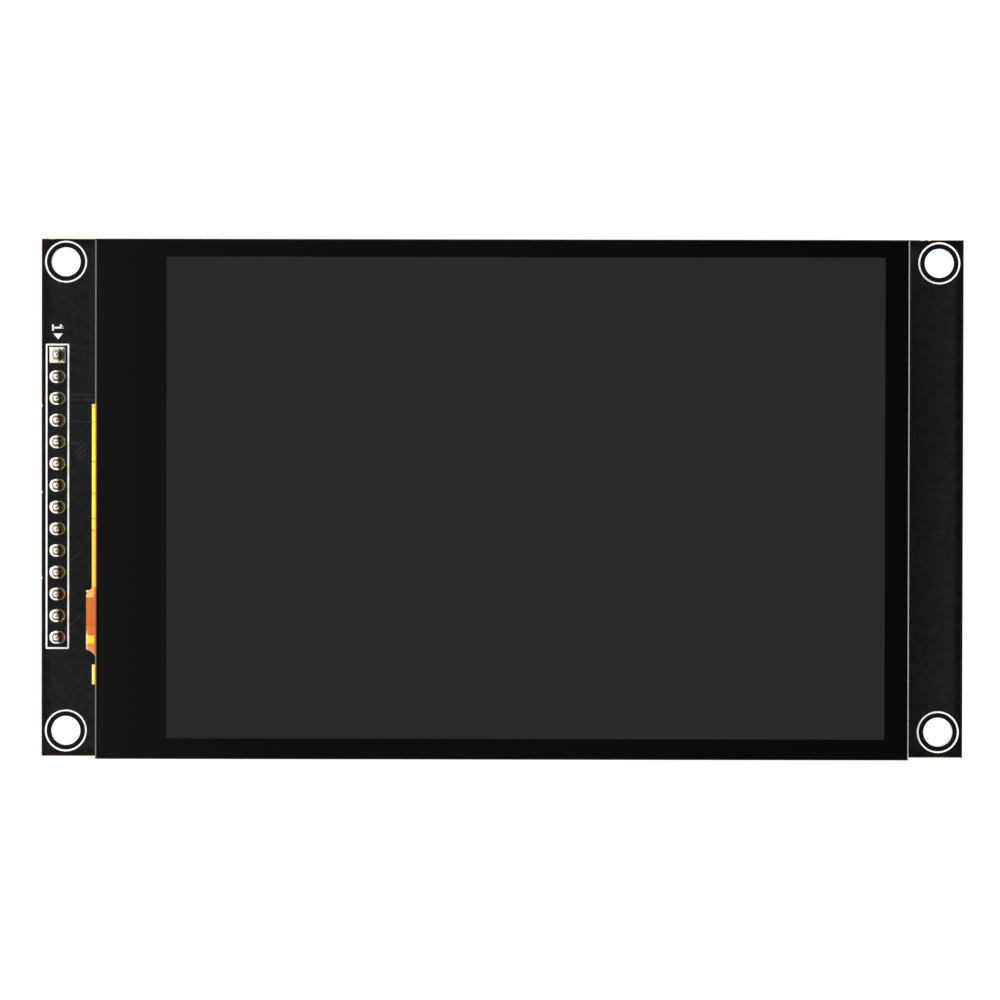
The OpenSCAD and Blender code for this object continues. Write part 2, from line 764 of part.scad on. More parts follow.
// The gasket lies on the edge of the front polarizer
module touch_gasket() {
    w = polarizer_right - polarizer_left;
    middle = (polarizer_right + polarizer_left) / 2;
    color([0.1, 0.1, 0.1]) on_display(gasket_z) translate([middle, 0, 0]) difference() {
        frame_block(w, polarizer_h, 0, gasket_t);
        frame_block(w - 2 * gasket_w, polarizer_h - 2 * gasket_w, -cut, gasket_t + cut);
    }
}

module touch_sensor() {
    color([0.5, 0.55, 0.56])
        on_display(sensor_z) sheet(-sensor_w / 2, sensor_w / 2, sensor_h, sensor_t);
}

// The view area, from z0 up by t
module view_block(z0, t) {
    translate([-glass_w / 2 + border_left, -glass_h / 2 + border_bottom, z0])
        cube([glass_w - border_left - border_right, glass_h - border_bottom - border_top, t]);
}

// The adhesive fills the step inside the printed border
module clear_adhesive() {
    color([0.3, 0.3, 0.3]) on_display(clear_adhesive_z) {
        sheet(-sensor_w / 2, sensor_w / 2, sensor_h, clear_adhesive_t - print_t);
        view_block(0, clear_adhesive_t);
    }
}

module border_print() {
    color([0.02, 0.02, 0.02]) on_display(cover_z - print_t) difference() {
        sheet(-glass_w / 2 + cover_bevel, glass_w / 2 - cover_bevel, glass_h - 2 * cover_bevel, print_t);
        view_block(-cut, print_t + 2 * cut);
    }
}

// Section of the cover glass across width w, with ground bevels along both edges
module cover_section(w) {
    half = w / 2;
    b = cover_bevel;
    polygon([[-half + b, 0], [half - b, 0], [half, b], [half, cover_t - b],
             [half - b, cover_t], [-half + b, cover_t], [-half, cover_t - b], [-half, b]]);
}

module cover_glass() {
    color([0.05, 0.05, 0.06]) on_display(cover_z) intersection() {
        along_y(glass_h) cover_section(glass_w);
        along_x(glass_w) cover_section(glass_h);
    }
}

// Outside one edge of the touch panel's flexible circuit. Above z_cut it follows the concave fillet
// from the edge to the wide root under the glass, and below it keeps to the straight tail.
module touch_flex_side(z_cut) {
    far = 2 * touch_tail_l;
    r = touch_flex_fillet;
    translate([touch_root_x - far, 0, -far]) cube([2 * far, far, z_cut + far]);
    translate([touch_root_x - far, 0, z_cut]) difference() {
        cube([far, far, far]);
        translate([far - r, -cut, -cut]) cube([r + cut, r + cut, far + 2 * cut]);
    }
    translate([touch_root_x - r, r, z_cut]) cylinder(r = r, h = far);
}

module touch_flex() {
    x_out = glass_left - touch_flex_out;
    x_end = -tray_w / 2 + touch_tail_l;
    root_w = touch_flex_w + 2 * touch_flex_fillet;
    z_cut = (sensor_z + tail_z) / 2;
    color([0.85, 0.47, 0.18]) translate([0, touch_flex_y, 0]) difference() {
        along_y(root_w)
            folded_profile(-sensor_w / 2 + bond_l, sensor_z - flex_t, x_out, x_end);
        translate([0, touch_flex_w / 2, 0]) touch_flex_side(z_cut);
        mirror([0, 1, 0]) translate([0, touch_flex_w / 2, 0]) touch_flex_side(z_cut);
    }
}

// The controller hangs from the underside of its tail, between the fold and the step
module touch_controller() {
    flat_l = touch_tail_l - solder_l - tail_run;
    color([0.1, 0.1, 0.1])
        translate([-tray_w / 2 + flat_l / 2, touch_flex_y, tail_z - touch_chip_t / 2])
            cube([touch_chip_w, touch_chip_w, touch_chip_t], center = true);
}

// Solder over the end of a tail and onto the board beyond it
module tail_joints(x_end, y_middle, w) {
    n = floor((w - solder_w) / tail_pitch) + 1;
    for (i = [0 : n - 1])
        translate([x_end, y_middle + (i - (n - 1) / 2) * tail_pitch, board_t]) along_y(solder_w)
            polygon([[-solder_lap, flex_t], [0, flex_t], [0, 0], [solder_w, 0],
                     [solder_slope, flex_t + solder_t],
                     [-solder_lap + solder_slope, flex_t + solder_t]]);
}

module flex_solder() {
    color([0.8, 0.8, 0.8]) {
        tail_joints(-tray_w / 2 + lcd_tail_l, lcd_flex_y, lcd_flex_w);
        tail_joints(-tray_w / 2 + touch_tail_l, touch_flex_y, touch_flex_w);
        tail_joints(-tray_w / 2 + backlight_tail_l, backlight_flex_y, backlight_flex_w);
    }
}

// ---- Card socket ----

module card_socket_body() {
    color([0.12, 0.12, 0.12]) on_rear(socket_x, 0) difference() {
        union() {
            translate([-socket_l, -socket_body_w / 2, 0]) cube([socket_l - floor_setback, socket_body_w, floor_t]);
            for (y = [-1, 1])
                translate([-socket_l, y * (socket_body_w - rail_w) / 2 - rail_w / 2, 0])
                    cube([socket_l - rail_setback, rail_w, socket_body_h]);
            translate([-socket_l, -socket_body_w / 2, 0])
                cube([socket_back_t, socket_body_w, socket_body_h]);
            for (y = [-1, 1])
                translate([peg_x, y * peg_y, -peg_l]) cylinder(d = peg_d, h = peg_l);
        }
        for (y = contact_y)
            translate([-socket_l - cut, y - contact_slot_w / 2, -cut])
                cube([contact_back + contact_l + cut, contact_slot_w, floor_t + cut]);
        // Lead-in for the card, along the floor's front edge
        translate([-floor_setback, 0, floor_t]) rotate([0, 45, 0])
            cube([lip, socket_in_w, lip], center = true);
    }
}

module card_socket_shell() {
    through = 4 * shell_t;
    color([0.75, 0.75, 0.76]) on_rear(socket_x, 0) difference() {
        union() {
            translate([-socket_l, -socket_w / 2, socket_h - shell_t]) cube([socket_l, socket_w, shell_t]);
            for (y = [-1, 1]) {
                translate([-socket_l, y * (socket_w - shell_t) / 2 - shell_t / 2, 0])
                    cube([socket_l, shell_t, socket_h]);
                for (x = foot_x)
                    translate([x, y * (socket_w + foot_w) / 2, shell_t / 2])
                        cube([foot_l, foot_w, shell_t], center = true);
            }
        }
        // The mouth's edge is cut back, so that a card can be gripped
        translate([0, 0, socket_h]) cylinder(r = mouth_r, h = through, center = true);
        // Slots free two spring tongues that press on the card
        for (y = [-1, 1]) translate([tongue_x, y * tongue_y, socket_h]) {
            for (s = [-1, 1])
                translate([0, s * (tongue_w + tongue_slot) / 2, 0])
                    cube([tongue_l, tongue_slot, through], center = true);
            translate([tongue_l / 2, 0, 0])
                cube([tongue_slot, tongue_w + 2 * tongue_slot, through], center = true);
        }
        // A window over the solder ends of the contacts
        translate([peep_x, 0, socket_h]) cube([peep[0], peep[1], through], center = true);
    }
}

// Each contact is a strip: tail on the board, run under the back wall, and a raised spring finger
module card_socket_contacts() {
    x0 = -socket_l - contact_tail_l;
    x1 = contact_x;
    x2 = contact_x + contact_l * contact_crest;
    x3 = contact_x + contact_l * contact_tip;
    lift = floor_t + contact_rise;
    t = contact_t;
    color([0.85, 0.7, 0.35])
        on_rear(socket_x, 0)
            for (y = contact_y)
                translate([0, y, 0]) along_y(contact_w)
                    polygon([[x0, 0], [x1, 0], [x2, lift], [x3, lift - contact_dip],
                             [x3, lift + t - contact_dip], [x2, lift + t], [x1 - t / 2, t], [x0, t]]);
}

// ---- Chips and small parts ----

// Each package is [size, y, pitch of the leads, [leads, width] at one side, [leads, width] at the other]
PACKAGES = [[shifter, shifter_y, shifter_pitch, [shifter_pairs, shifter_lead_w],
             [shifter_pairs, shifter_lead_w]],
            [regulator, regulator_y, regulator_pitch, [3, regulator_lead_w], [1, regulator_tab_w]],
            [transistor, transistor_y, transistor_pitch, [2, transistor_lead_w],
             [1, transistor_lead_w]]];

module package_body(p) {
    color([0.09, 0.09, 0.1]) on_rear(pin_x + chip_x, p[1]) difference() {
        moulded(p[0], standoff);
        translate([p[0][1] / 2 - dimple_inset, p[0][0] / 2 - dimple_inset, p[0][2] - dimple_depth])
            cylinder(d = dimple_d, h = cut);
    }
}

module level_shifter_body() {
    package_body(PACKAGES[0]);
}

module regulator_body() {
    package_body(PACKAGES[1]);
}

module transistor_body() {
    package_body(PACKAGES[2]);
}

module lead_row(size, pitch, leads, side) {
    z = (standoff + size[2] - lead_t) / 2;
    for (i = [0 : leads[0] - 1])
        translate([side * size[1] / 2, (i - (leads[0] - 1) / 2) * pitch, 0])
            rotate([0, 0, side > 0 ? 0 : 180])
                gull_lead(leads[1], z);
}

module chip_leads() {
    color([0.78, 0.78, 0.8])
        for (p = PACKAGES) on_rear(pin_x + chip_x, p[1]) {
            lead_row(p[0], p[2], p[3], 1);
            lead_row(p[0], p[2], p[4], -1);
        }
}

// Places of the resistors and capacitors: [x, y]
RESISTORS = [for (i = [0 : resistor_count - 1])
    [pin_x + resistor_x, resistor_y + (i - (resistor_count - 1) / 2) * resistor_pitch]];
CAPACITORS = [for (i = [0 : capacitor_count - 1])
    [pin_x + capacitor_x, capacitor_y + (i - (capacitor_count - 1) / 2) * capacitor_pitch]];

module small_body(at, h) {
    on_rear(at[0], at[1])
        translate([-small_l / 2 + terminal_l, -small_w / 2, 0])
            cube([small_l - 2 * terminal_l, small_w, h]);
}

module small_terminals(at, h) {
    on_rear(at[0], at[1])
        for (x = [-1, 1])
            translate([x * (small_l - terminal_l) / 2 - terminal_l / 2, -small_w / 2, 0])
                cube([terminal_l, small_w, h]);
}

module resistor_bodies() {
    color([0.1, 0.1, 0.1]) for (at = RESISTORS) small_body(at, resistor_h);
}

module capacitor_bodies() {
    color([0.7, 0.55, 0.4]) for (at = CAPACITORS) small_body(at, capacitor_h);
}

module chip_terminals() {
    color([0.8, 0.8, 0.8]) {
        for (at = RESISTORS) small_terminals(at, resistor_h);
        for (at = CAPACITORS) small_terminals(at, capacitor_h);
    }
}

circuit_board();
header_housing();
header_pins();
header_solder();
foam_tape();
backlight_tray();
backlight_frame();
reflector_sheet();
light_guide();
backlight_leds();
backlight_flex();
diffuser_film();
lower_prism_film();
upper_prism_film();
rim_tape();
rear_polarizer();
tft_glass();
color_filter_glass();
front_polarizer();
driver_chip();
lcd_flex();
touch_gasket();
touch_sensor();
clear_adhesive();
border_print();
cover_glass();
touch_flex();
touch_controller();
flex_solder();
card_socket_body();
card_socket_shell();
card_socket_contacts();
level_shifter_body();
regulator_body();
transistor_body();
chip_leads();
resistor_bodies();
capacitor_bodies();
chip_terminals();
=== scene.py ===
import json
import math
import random

import bmesh
import bpy
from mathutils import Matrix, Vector


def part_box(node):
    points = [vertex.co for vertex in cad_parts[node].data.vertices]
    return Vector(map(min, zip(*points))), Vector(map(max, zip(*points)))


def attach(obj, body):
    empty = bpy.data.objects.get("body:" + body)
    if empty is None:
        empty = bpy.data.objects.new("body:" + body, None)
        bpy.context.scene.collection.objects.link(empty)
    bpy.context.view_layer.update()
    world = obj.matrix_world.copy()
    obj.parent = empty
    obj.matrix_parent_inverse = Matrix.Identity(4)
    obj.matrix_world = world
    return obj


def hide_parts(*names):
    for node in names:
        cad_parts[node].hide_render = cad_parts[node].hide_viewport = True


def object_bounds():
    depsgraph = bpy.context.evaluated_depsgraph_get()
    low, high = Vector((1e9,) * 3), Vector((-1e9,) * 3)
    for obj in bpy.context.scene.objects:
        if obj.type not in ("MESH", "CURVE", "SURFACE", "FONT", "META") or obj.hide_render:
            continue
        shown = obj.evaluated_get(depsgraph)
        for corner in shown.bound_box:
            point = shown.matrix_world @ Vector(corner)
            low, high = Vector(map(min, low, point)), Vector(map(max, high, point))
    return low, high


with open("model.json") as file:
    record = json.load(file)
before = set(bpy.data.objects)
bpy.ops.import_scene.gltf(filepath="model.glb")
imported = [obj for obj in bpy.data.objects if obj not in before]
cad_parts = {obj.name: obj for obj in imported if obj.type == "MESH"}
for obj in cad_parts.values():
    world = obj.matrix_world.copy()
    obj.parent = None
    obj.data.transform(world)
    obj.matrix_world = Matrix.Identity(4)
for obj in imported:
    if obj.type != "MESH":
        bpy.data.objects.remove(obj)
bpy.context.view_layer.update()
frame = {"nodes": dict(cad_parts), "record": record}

NODES = frame["nodes"]
MM = 0.001
rng = random.Random(7)

# ---------------------------------------------------------------- places, all from the frame

MOUNTS = {mount["name"]: mount for mount in frame["record"]["mounts"]}
BOLTS = MOUNTS["mounting_holes"]["dims"]
HOLE_X = BOLTS["spacing_x_mm"] * MM / 2
HOLE_Y = BOLTS["spacing_y_mm"] * MM / 2
HOLES = [(sx * HOLE_X, sy * HOLE_Y) for sx in (-1, 1) for sy in (-1, 1)]

BOARD_LO, BOARD_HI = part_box("circuit_board")
PINS_LO, PINS_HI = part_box("header_pins")
SOLDER_LO, SOLDER_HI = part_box("header_solder")
GLASS_LO, GLASS_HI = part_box("cover_glass")
LCD_LO, LCD_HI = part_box("lcd_flex")
TOUCH_LO, TOUCH_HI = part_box("touch_flex")
BACK_LO, BACK_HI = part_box("backlight_flex")
SOCKET_LO, SOCKET_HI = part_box("card_socket_shell")
SHIFTER_LO, SHIFTER_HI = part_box("level_shifter_body")
REGULATOR_LO, REGULATOR_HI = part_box("regulator_body")
TRANSISTOR_LO, TRANSISTOR_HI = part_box("transistor_body")

TOP = BOARD_HI.z
REAR = BOARD_LO.z
PIN_X = (PINS_LO.x + PINS_HI.x) / 2
PIN_W = PINS_HI.x - PINS_LO.x
PIN_COUNT = 14
PIN_PITCH = (PINS_HI.y - PINS_LO.y - PIN_W) / (PIN_COUNT - 1)
PIN_YS = [PINS_LO.y + PIN_W / 2 + i * PIN_PITCH for i in range(PIN_COUNT)]


def inner_loop(node):
    """Lowest and highest corner of the opening in a flat frame-shaped node."""
    lo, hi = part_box(node)
    inside = [v.co for v in NODES[node].data.vertices
              if lo.x + MM < v.co.x < hi.x - MM and lo.y + MM < v.co.y < hi.y - MM]
    return (min(v.x for v in inside), min(v.y for v in inside),
            max(v.x for v in inside), max(v.y for v in inside))


def islands(node):
    """The (low, high) span along X, Y and Z of each separate solid in a node's mesh."""
    mesh = NODES[node].data
    keys = [tuple(round(c * 1e6) for c in v.co) for v in mesh.vertices]
    root = {key: key for key in keys}

    def find(key):
        while root[key] != key:
            root[key] = root[root[key]]
            key = root[key]
        return key

    for edge in mesh.edges:
        root[find(keys[edge.vertices[0]])] = find(keys[edge.vertices[1]])
    groups = {}
    for key, vertex in zip(keys, mesh.vertices):
        groups.setdefault(find(key), []).append(vertex.co)
    return sorted(tuple((min(c[axis] for c in group), max(c[axis] for c in group)) for axis in range(3))
                  for group in groups.values())


VIEW = inner_loop("border_print")
LEADS = islands("chip_leads")
TERMINALS = islands("chip_terminals")
CONTACTS = islands("card_socket_contacts")

# ---------------------------------------------------------------- shader kit


def linear(r, g, b):
    """A colour written as 0-255 display values, as linear RGBA."""
    def one(c):
        c /= 255
        return c / 12.92 if c <= 0.04045 else ((c + 0.055) / 1.055) ** 2.4
    return (one(r), one(g), one(b), 1)


class Nodes:
    """Short calls for the usual nodes of one node tree."""

    def __init__(self, tree):
        self.tree = tree

    def node(self, kind, **props):
        new = self.tree.nodes.new(kind)
        for key, value in props.items():
            setattr(new, key, value)
        return new

    def put(self, socket, value):
        """Link an output to a socket, or write a number or colour on it."""
        if isinstance(value, bpy.types.NodeSocket):
            self.tree.links.new(value, socket)
        else:
            socket.default_value = value

    def fill(self, node, values):
        """Put values on a node's first sockets, and give its first output."""
        for socket, value in zip(node.inputs, values):
            self.put(socket, value)
        return node.outputs[0]

    def split(self, vector):
        node = self.node("ShaderNodeSeparateXYZ")
        self.put(node.inputs[0], vector)
        return node.outputs

    def math(self, operation, *values):
        return self.fill(self.node("ShaderNodeMath", operation=operation), values)

    def plus(self, a, b):
        return self.math("ADD", a, b)

    def minus(self, a, b):
        return self.math("SUBTRACT", a, b)

    def times(self, a, b):
        return self.math("MULTIPLY", a, b)

    def above(self, value, limit):
        """1 where value > limit, and 0 elsewhere."""
        return self.math("GREATER_THAN", value, limit)

    def below(self, value, limit):
        """1 where value < limit, and 0 elsewhere."""
        return self.math("LESS_THAN", value, limit)

    def between(self, value, low, high):
        """1 where low < value < high, and 0 elsewhere."""
        return self.times(self.above(value, low), self.below(value, high))

    def distance(self, x, y):
        return self.math("SQRT", self.plus(self.times(x, x), self.times(y, y)))

    def scale(self, value, low, high, out_low=0.0, out_high=1.0, kind="LINEAR"):
        """The stretch from low to high, mapped to out_low to out_high and held beyond its ends."""
        node = self.node("ShaderNodeMapRange", interpolation_type=kind)
        return self.fill(node, (value, low, high, out_low, out_high))

    def smooth(self, value, low, high, out_low=0.0, out_high=1.0):
        """As scale(), eased at both ends."""
        return self.scale(value, low, high, out_low, out_high, "SMOOTHSTEP")

    def mix(self, factor, a, b):
        """Colour a where factor is 0, and b where it is 1."""
        node = self.node("ShaderNodeMix", data_type="RGBA")
        self.put(node.inputs["Factor"], factor)
        self.put(node.inputs[6], a)
        self.put(node.inputs[7], b)
        return node.outputs[2]

    def ramp(self, value, low, high, stops, stepped=False):
        """Colours along a value from low to high. A stop is (value, (r, g, b))."""
        node = self.node("ShaderNodeValToRGB")
        node.color_ramp.interpolation = "CONSTANT" if stepped else "LINEAR"
        self.put(node.inputs[0], self.scale(value, low, high))
        elements = node.color_ramp.elements
        while len(elements) < len(stops):
            elements.new(0.5)
        for element, (at, colour) in zip(elements, stops):
            element.position = (at - low) / (high - low)
            element.color = linear(*colour)
        return node.outputs[0]


class Mat(Nodes):
    """One material on the Principled shader, with the object's own coordinates in x, y and z."""

    def __init__(self, name, **settings):
        self.mat = bpy.data.materials.new(name)
        self.mat.use_nodes = True
        super().__init__(self.mat.node_tree)
        self.bsdf = self.tree.nodes["Principled BSDF"]
        for key, value in settings.items():
            self.bsdf.inputs[key.replace("_", " ")].default_value = value
        self.place = self.node("ShaderNodeTexCoord").outputs["Object"]
        self.x, self.y, self.z = self.split(self.place)

    def set(self, key, value):
        self.put(self.bsdf.inputs[key], value)

    def stretch(self, scale):
        """The place on the object, multiplied along X, Y and Z."""
        node = self.node("ShaderNodeMapping")
        self.put(node.inputs["Vector"], self.place)
        node.inputs["Scale"].default_value = scale
        return node.outputs[0]

    def noise(self, scale, detail=3.0, rough=0.5, vector=None, offset=0.0):
        """Noise from 0 to 1, with its cells about 1/scale metres across."""
        node = self.node("ShaderNodeTexNoise", noise_dimensions="4D")
        self.put(node.inputs["Vector"], vector or self.place)
        node.inputs["W"].default_value = offset
        node.inputs["Scale"].default_value = scale
        node.inputs["Detail"].default_value = detail
        node.inputs["Roughness"].default_value = rough
        return node.outputs["Fac"]

    def facing(self, axis):
        """How squarely the surface faces along an axis: 1 squarely, either way, and 0 side-on."""
        normal = self.split(self.node("ShaderNodeNewGeometry").outputs["Normal"])
        return self.math("ABSOLUTE", normal[axis])

    def bump(self, height, depth):
        """Bump from a 0-1 height, depth in millimetres."""
        node = self.node("ShaderNodeBump")
        node.inputs["Strength"].default_value = 1.0
        node.inputs["Distance"].default_value = depth * MM
        self.put(node.inputs["Height"], height)
        self.set("Normal", node.outputs[0])


def speckled(name, dark, light, scale, rough, depth, grain=(1, 1, 1), **settings):
    """A material that wanders between two colours, with roughness and a fine bump to match."""
    m = Mat(name, **settings)
    where = m.stretch(grain)
    broad = m.noise(scale, 4, 0.6, where)
    fine = m.noise(scale * 6, 2, 0.5, where, 3.0)
    m.set("Base Color", m.mix(broad, linear(*dark), linear(*light)))
    m.set("Roughness", m.smooth(fine, 0.25, 0.75, *rough))
    m.bump(fine, depth)
    return m.mat


# ---------------------------------------------------------------- the board's materials

FR4 = (178, 138, 72)
FR4_LIGHT = (222, 184, 110)
PLATING = (246, 243, 236)
# From the middle of a mounting hole: its wall lies within the first, and the mask deepens over the second
HOLE_REACH = 2 * MM
RING_SHADE = (2.6 * MM, 2.4 * MM)
# The bare rim's greatest width, and how near an edge a place counts as being on it
RIM_W = 0.15 * MM
EDGE_ZONE = 0.2 * MM
# Nicks in the left edge: their places along Y, and how far they go below and above them, and in
NICKS = (10.6 * MM, 0.5 * MM, -9.5 * MM)
NICK_BELOW, NICK_ABOVE, NICK_DEPTH = 0.16 * MM, 0.12 * MM, 0.11 * MM
# Stretches of the upper edge, along X, where the bare rim has a painted glint and is not dark
PAINTED_RIM_GLINTS = ((BOARD_LO.x, GLASS_HI.x), (48.52 * MM, 48.88 * MM), (49.47 * MM, 49.87 * MM))


def mask_finish(m, depth):
    """The gloss and faint ripple of solder mask."""
    m.set("Roughness", m.smooth(m.noise(1500, 2), 0.2, 0.8, 0.2, 0.27))
    m.bump(m.noise(2500, 3), depth)


def board_mask(m, edge, near_hole):
    """Black mask, deeper along the board's edges and inside the printed rings."""
    mask = m.mix(m.smooth(m.noise(60, 4, 0.55), 0.3, 0.7), linear(17, 18, 18), linear(23, 23, 23))
    mask = m.mix(m.smooth(edge, 1.4 * MM, 0.5 * MM, 0.0, 0.8), mask, linear(0, 3, 1))
    return m.mix(m.smooth(near_hole, *RING_SHADE, 0.0, 0.6), mask, linear(2, 1, 6))


def rim_colour(m, upper, lower):
    """The bare rim: brown at the left, paler below, and dark above, with painted glints in stretches of
    it.
    """
    # The first colour is a painted glint on the upper rim, and the second is the rim's plain dark colour
    painted_glint, dark = (248, 200, 92), (112, 40, 10)
    stops = []
    for start, end in PAINTED_RIM_GLINTS:
        stops += [(start, painted_glint), (end, dark)]
    sides = m.mix(lower, linear(112, 60, 32), linear(172, 112, 58))
    return m.mix(upper, sides, m.ramp(m.x, BOARD_LO.x, BOARD_HI.x, stops, stepped=True))


def nick_places(m, left):
    """1 where the left edge is nicked through the mask, and 0 elsewhere."""
    nicks = 0.0
    for y in NICKS:
        nicks = m.math("MAXIMUM", nicks, m.between(m.y, y - NICK_BELOW, y + NICK_ABOVE))
    return m.times(nicks, m.below(left, NICK_DEPTH))


def board_wall(m, near_hole):
    """Cut glass cloth on the board's edges, and plating in the mounting holes."""
    fibre = m.noise(1, 3, 0.6, m.stretch((2400, 2400, 9000)))
    cloth = m.mix(m.smooth(fibre, 0.3, 0.7), linear(*FR4), linear(*FR4_LIGHT))
    return m.mix(m.below(near_hole, HOLE_REACH), cloth, linear(*PLATING))


def board_material():
    """Black solder mask that stops just short of the board's edges, except at the right."""
    m = Mat("solder_mask_board", IOR=1.5)
    right = m.minus(BOARD_HI.x, m.x)
    left = m.minus(m.x, BOARD_LO.x)
    top = m.minus(BOARD_HI.y, m.y)
    low = m.minus(m.y, BOARD_LO.y)
    edge = m.math("MINIMUM", m.math("MINIMUM", right, left), m.math("MINIMUM", top, low))
    near_hole = m.distance(m.minus(m.math("ABSOLUTE", m.x), HOLE_X),
                           m.minus(m.math("ABSOLUTE", m.y), HOLE_Y))
    upper = m.below(top, EDGE_ZONE)
    lower = m.below(low, EDGE_ZONE)
    rim_width = m.minus(m.times(m.noise(900, 2), RIM_W), m.times(upper, 0.02 * MM))
    rim = m.times(m.below(edge, rim_width), m.above(right, EDGE_ZONE))
    face = m.mix(rim, board_mask(m, edge, near_hole), rim_colour(m, upper, lower))
    face = m.mix(nick_places(m, left), face, linear(240, 186, 84))
    m.set("Base Color", m.mix(m.above(m.facing(2), 0.5), board_wall(m, near_hole), face))
    mask_finish(m, 0.008)
    return m.mat


def trace_material():
    """Mask over copper, a little paler than the board, most of all at the header."""
    m = Mat("mask_over_copper", IOR=1.5)
    across = m.ramp(m.x, BOARD_LO.x, BOARD_HI.x, [
        (BOARD_LO.x, (36, 38, 38)), (0.0, (32, 34, 34)), (BOARD_HI.x, (24, 26, 25))])
    m.set("Base Color", m.mix(m.times(m.noise(500, 3), 0.4), across, linear(28, 30, 30)))
    mask_finish(m, 0.006)
    return m.mat


def solder_material():
    """Bright solder, a little grainy, with brown flux round each pin and painted shade on the right side
    of each joint.
    """
    m = Mat("bright_solder", Metallic=1.0)
    half = PIN_PITCH / 2
    dx = m.minus(m.x, PIN_X)
    dy = m.math("WRAP", m.minus(m.y, PIN_YS[0]), half, -half)
    away = m.plus(m.distance(dx, dy), m.times(m.noise(2200, 2), 0.12 * MM))
    flux = m.times(m.smooth(away, 0.34 * MM, 0.42 * MM), m.smooth(away, 0.56 * MM, 0.44 * MM))
    tin = m.mix(m.noise(900, 4), linear(230, 224, 211), linear(251, 246, 235))
    tin = m.mix(m.times(flux, 0.8), tin, linear(176, 118, 70))
    # Painted shade: the right side of each joint darkened towards a dark mottled colour
    painted_joint_shade = m.times(m.smooth(dx, 0.06 * MM, 0.3 * MM), m.smooth(away, 0.88 * MM, 0.78 * MM))
    painted_joint_shade = m.times(painted_joint_shade, m.smooth(away, 0.3 * MM, 0.4 * MM))
    painted_shade_colour = m.mix(m.noise(1300, 2, offset=5.0), linear(22, 26, 18), linear(88, 66, 42))
    m.set("Base Color", m.mix(m.times(painted_joint_shade, 0.9), tin, painted_shade_colour))
    m.set("Roughness", m.smooth(m.noise(3000, 2), 0.2, 0.8, 0.14, 0.26))
    m.bump(m.noise(4000, 2), 0.008)
    return m.mat


# ---------------------------------------------------------------- the glass's material

PLAIN_EDGE = (92, 100, 110)
# Painted reflections in the bevel at the left, along Y: of the backlight's tail, the touch panel's circuit
# and the panel's circuit, and plain glass elsewhere
LEFT_BEVEL_REFLECTIONS = [
    (GLASS_LO.y, PLAIN_EDGE), (-21.8 * MM, (150, 84, 12)), (-19.5 * MM, PLAIN_EDGE),
    (-18.3 * MM, (134, 70, 38)), (LCD_LO.y, (216, 128, 18)), (LCD_HI.y, PLAIN_EDGE)]


def cover_face(m):
    """Black ink, lighter towards the left with a painted reflection, and a clear window over the dark
    panel.
    """
    x0, y0, x1, y1 = VIEW
    window = m.times(m.between(m.x, x0, x1), m.between(m.y, y0, y1))
    haze = m.noise(25, 3, 0.5)
    panel = m.mix(haze, linear(34, 34, 36), linear(36, 36, 38))
    # Painted reflection: the ink is lighter at the left and darkest at the right
    ink = m.ramp(m.x, GLASS_LO.x, GLASS_HI.x, [
        (GLASS_LO.x, (18, 18, 18)), (-30 * MM, (10, 10, 10)), (10 * MM, (8, 8, 8)),
        (GLASS_HI.x, (5, 5, 5))])
    ink = m.mix(m.times(haze, 0.2), ink, linear(15, 15, 15))
    return m.mix(window, ink, panel)


def cover_edge(m, long_edge):
    """Ground edges: at the left, painted reflections of the circuits beside them; at the right, a lighter
    colour that is a painted reflection; and dark along X.
    """
    # Painted reflections of the circuits, on the bevel at the left
    left = m.ramp(m.y, GLASS_LO.y, GLASS_HI.y, LEFT_BEVEL_REFLECTIONS, stepped=True)
    left = m.mix(m.above(m.facing(2), 0.3), linear(*PLAIN_EDGE), left)
    # The right edge is painted lighter than the left, a painted reflection
    edge = m.mix(m.below(m.x, 0.0), linear(166, 174, 158), left)
    edge = m.mix(long_edge, edge, linear(6, 5, 5))
    return m.mix(m.times(m.noise(3000, 2), 0.6), edge, linear(52, 56, 54))


def cover_material():
    """Glossy on its face, and matt on its edges."""
    m = Mat("cover_glass_front", IOR=1.5)
    flat = m.above(m.facing(2), 0.98)
    long_edge = m.above(m.facing(1), 0.3)
    m.set("Base Color", m.mix(flat, cover_edge(m, long_edge), cover_face(m)))
    m.set("Specular IOR Level", m.times(m.minus(1.0, long_edge), 0.5))
    m.set("Roughness", m.plus(m.times(m.minus(1.0, flat), 0.4), 0.04))
    return m.mat


# ---------------------------------------------------------------- the circuits' materials

YELLOW = (250, 239, 68)
AMBER = (250, 208, 66)
ORANGE = (188, 96, 16)
# Seams of the panel's circuit, and half the width of one, in millimetres along Y
LCD_SEAMS = (-2.55, 0.37, 4.06, 8.7)
LCD_SEAM_HALF = 0.13
LINE_PITCH = 0.3 * MM
# Painted glint and painted shade, with a beige patch, on the bends in the upper corner of the touch
# panel's circuit: Y range, distance from the glass, colour
TOUCH_BEND_PAINTED_LIGHT = (
    (-11.05 * MM, -10.7 * MM, 0.95 * MM, (255, 238, 220)),
    (-11.7 * MM, -11.2 * MM, 0.45 * MM, (232, 170, 110)),
    (-11.4 * MM, -11.1 * MM, 1.08 * MM, (60, 32, 18)))


def stops_to_metres(stops):
    """Stops whose places are written in millimetres, with them in metres."""
    return [(y * MM, colour) for y, colour in stops]


def lcd_stops():
    """Amber at the lower end, yellow above it, with the dark seams of its sections."""
    stops = [(-4.1, AMBER), (-3.89, (196, 120, 44)), (-3.76, YELLOW)]
    for y in LCD_SEAMS:
        stops += [(y - LCD_SEAM_HALF, YELLOW), (y, (205, 130, 50)), (y + LCD_SEAM_HALF, YELLOW)]
    stops += [(10.1, YELLOW), (10.3, (250, 210, 92))]
    return [(LCD_LO.y, AMBER)] + stops_to_metres(stops) + [(LCD_HI.y, (250, 202, 96))]


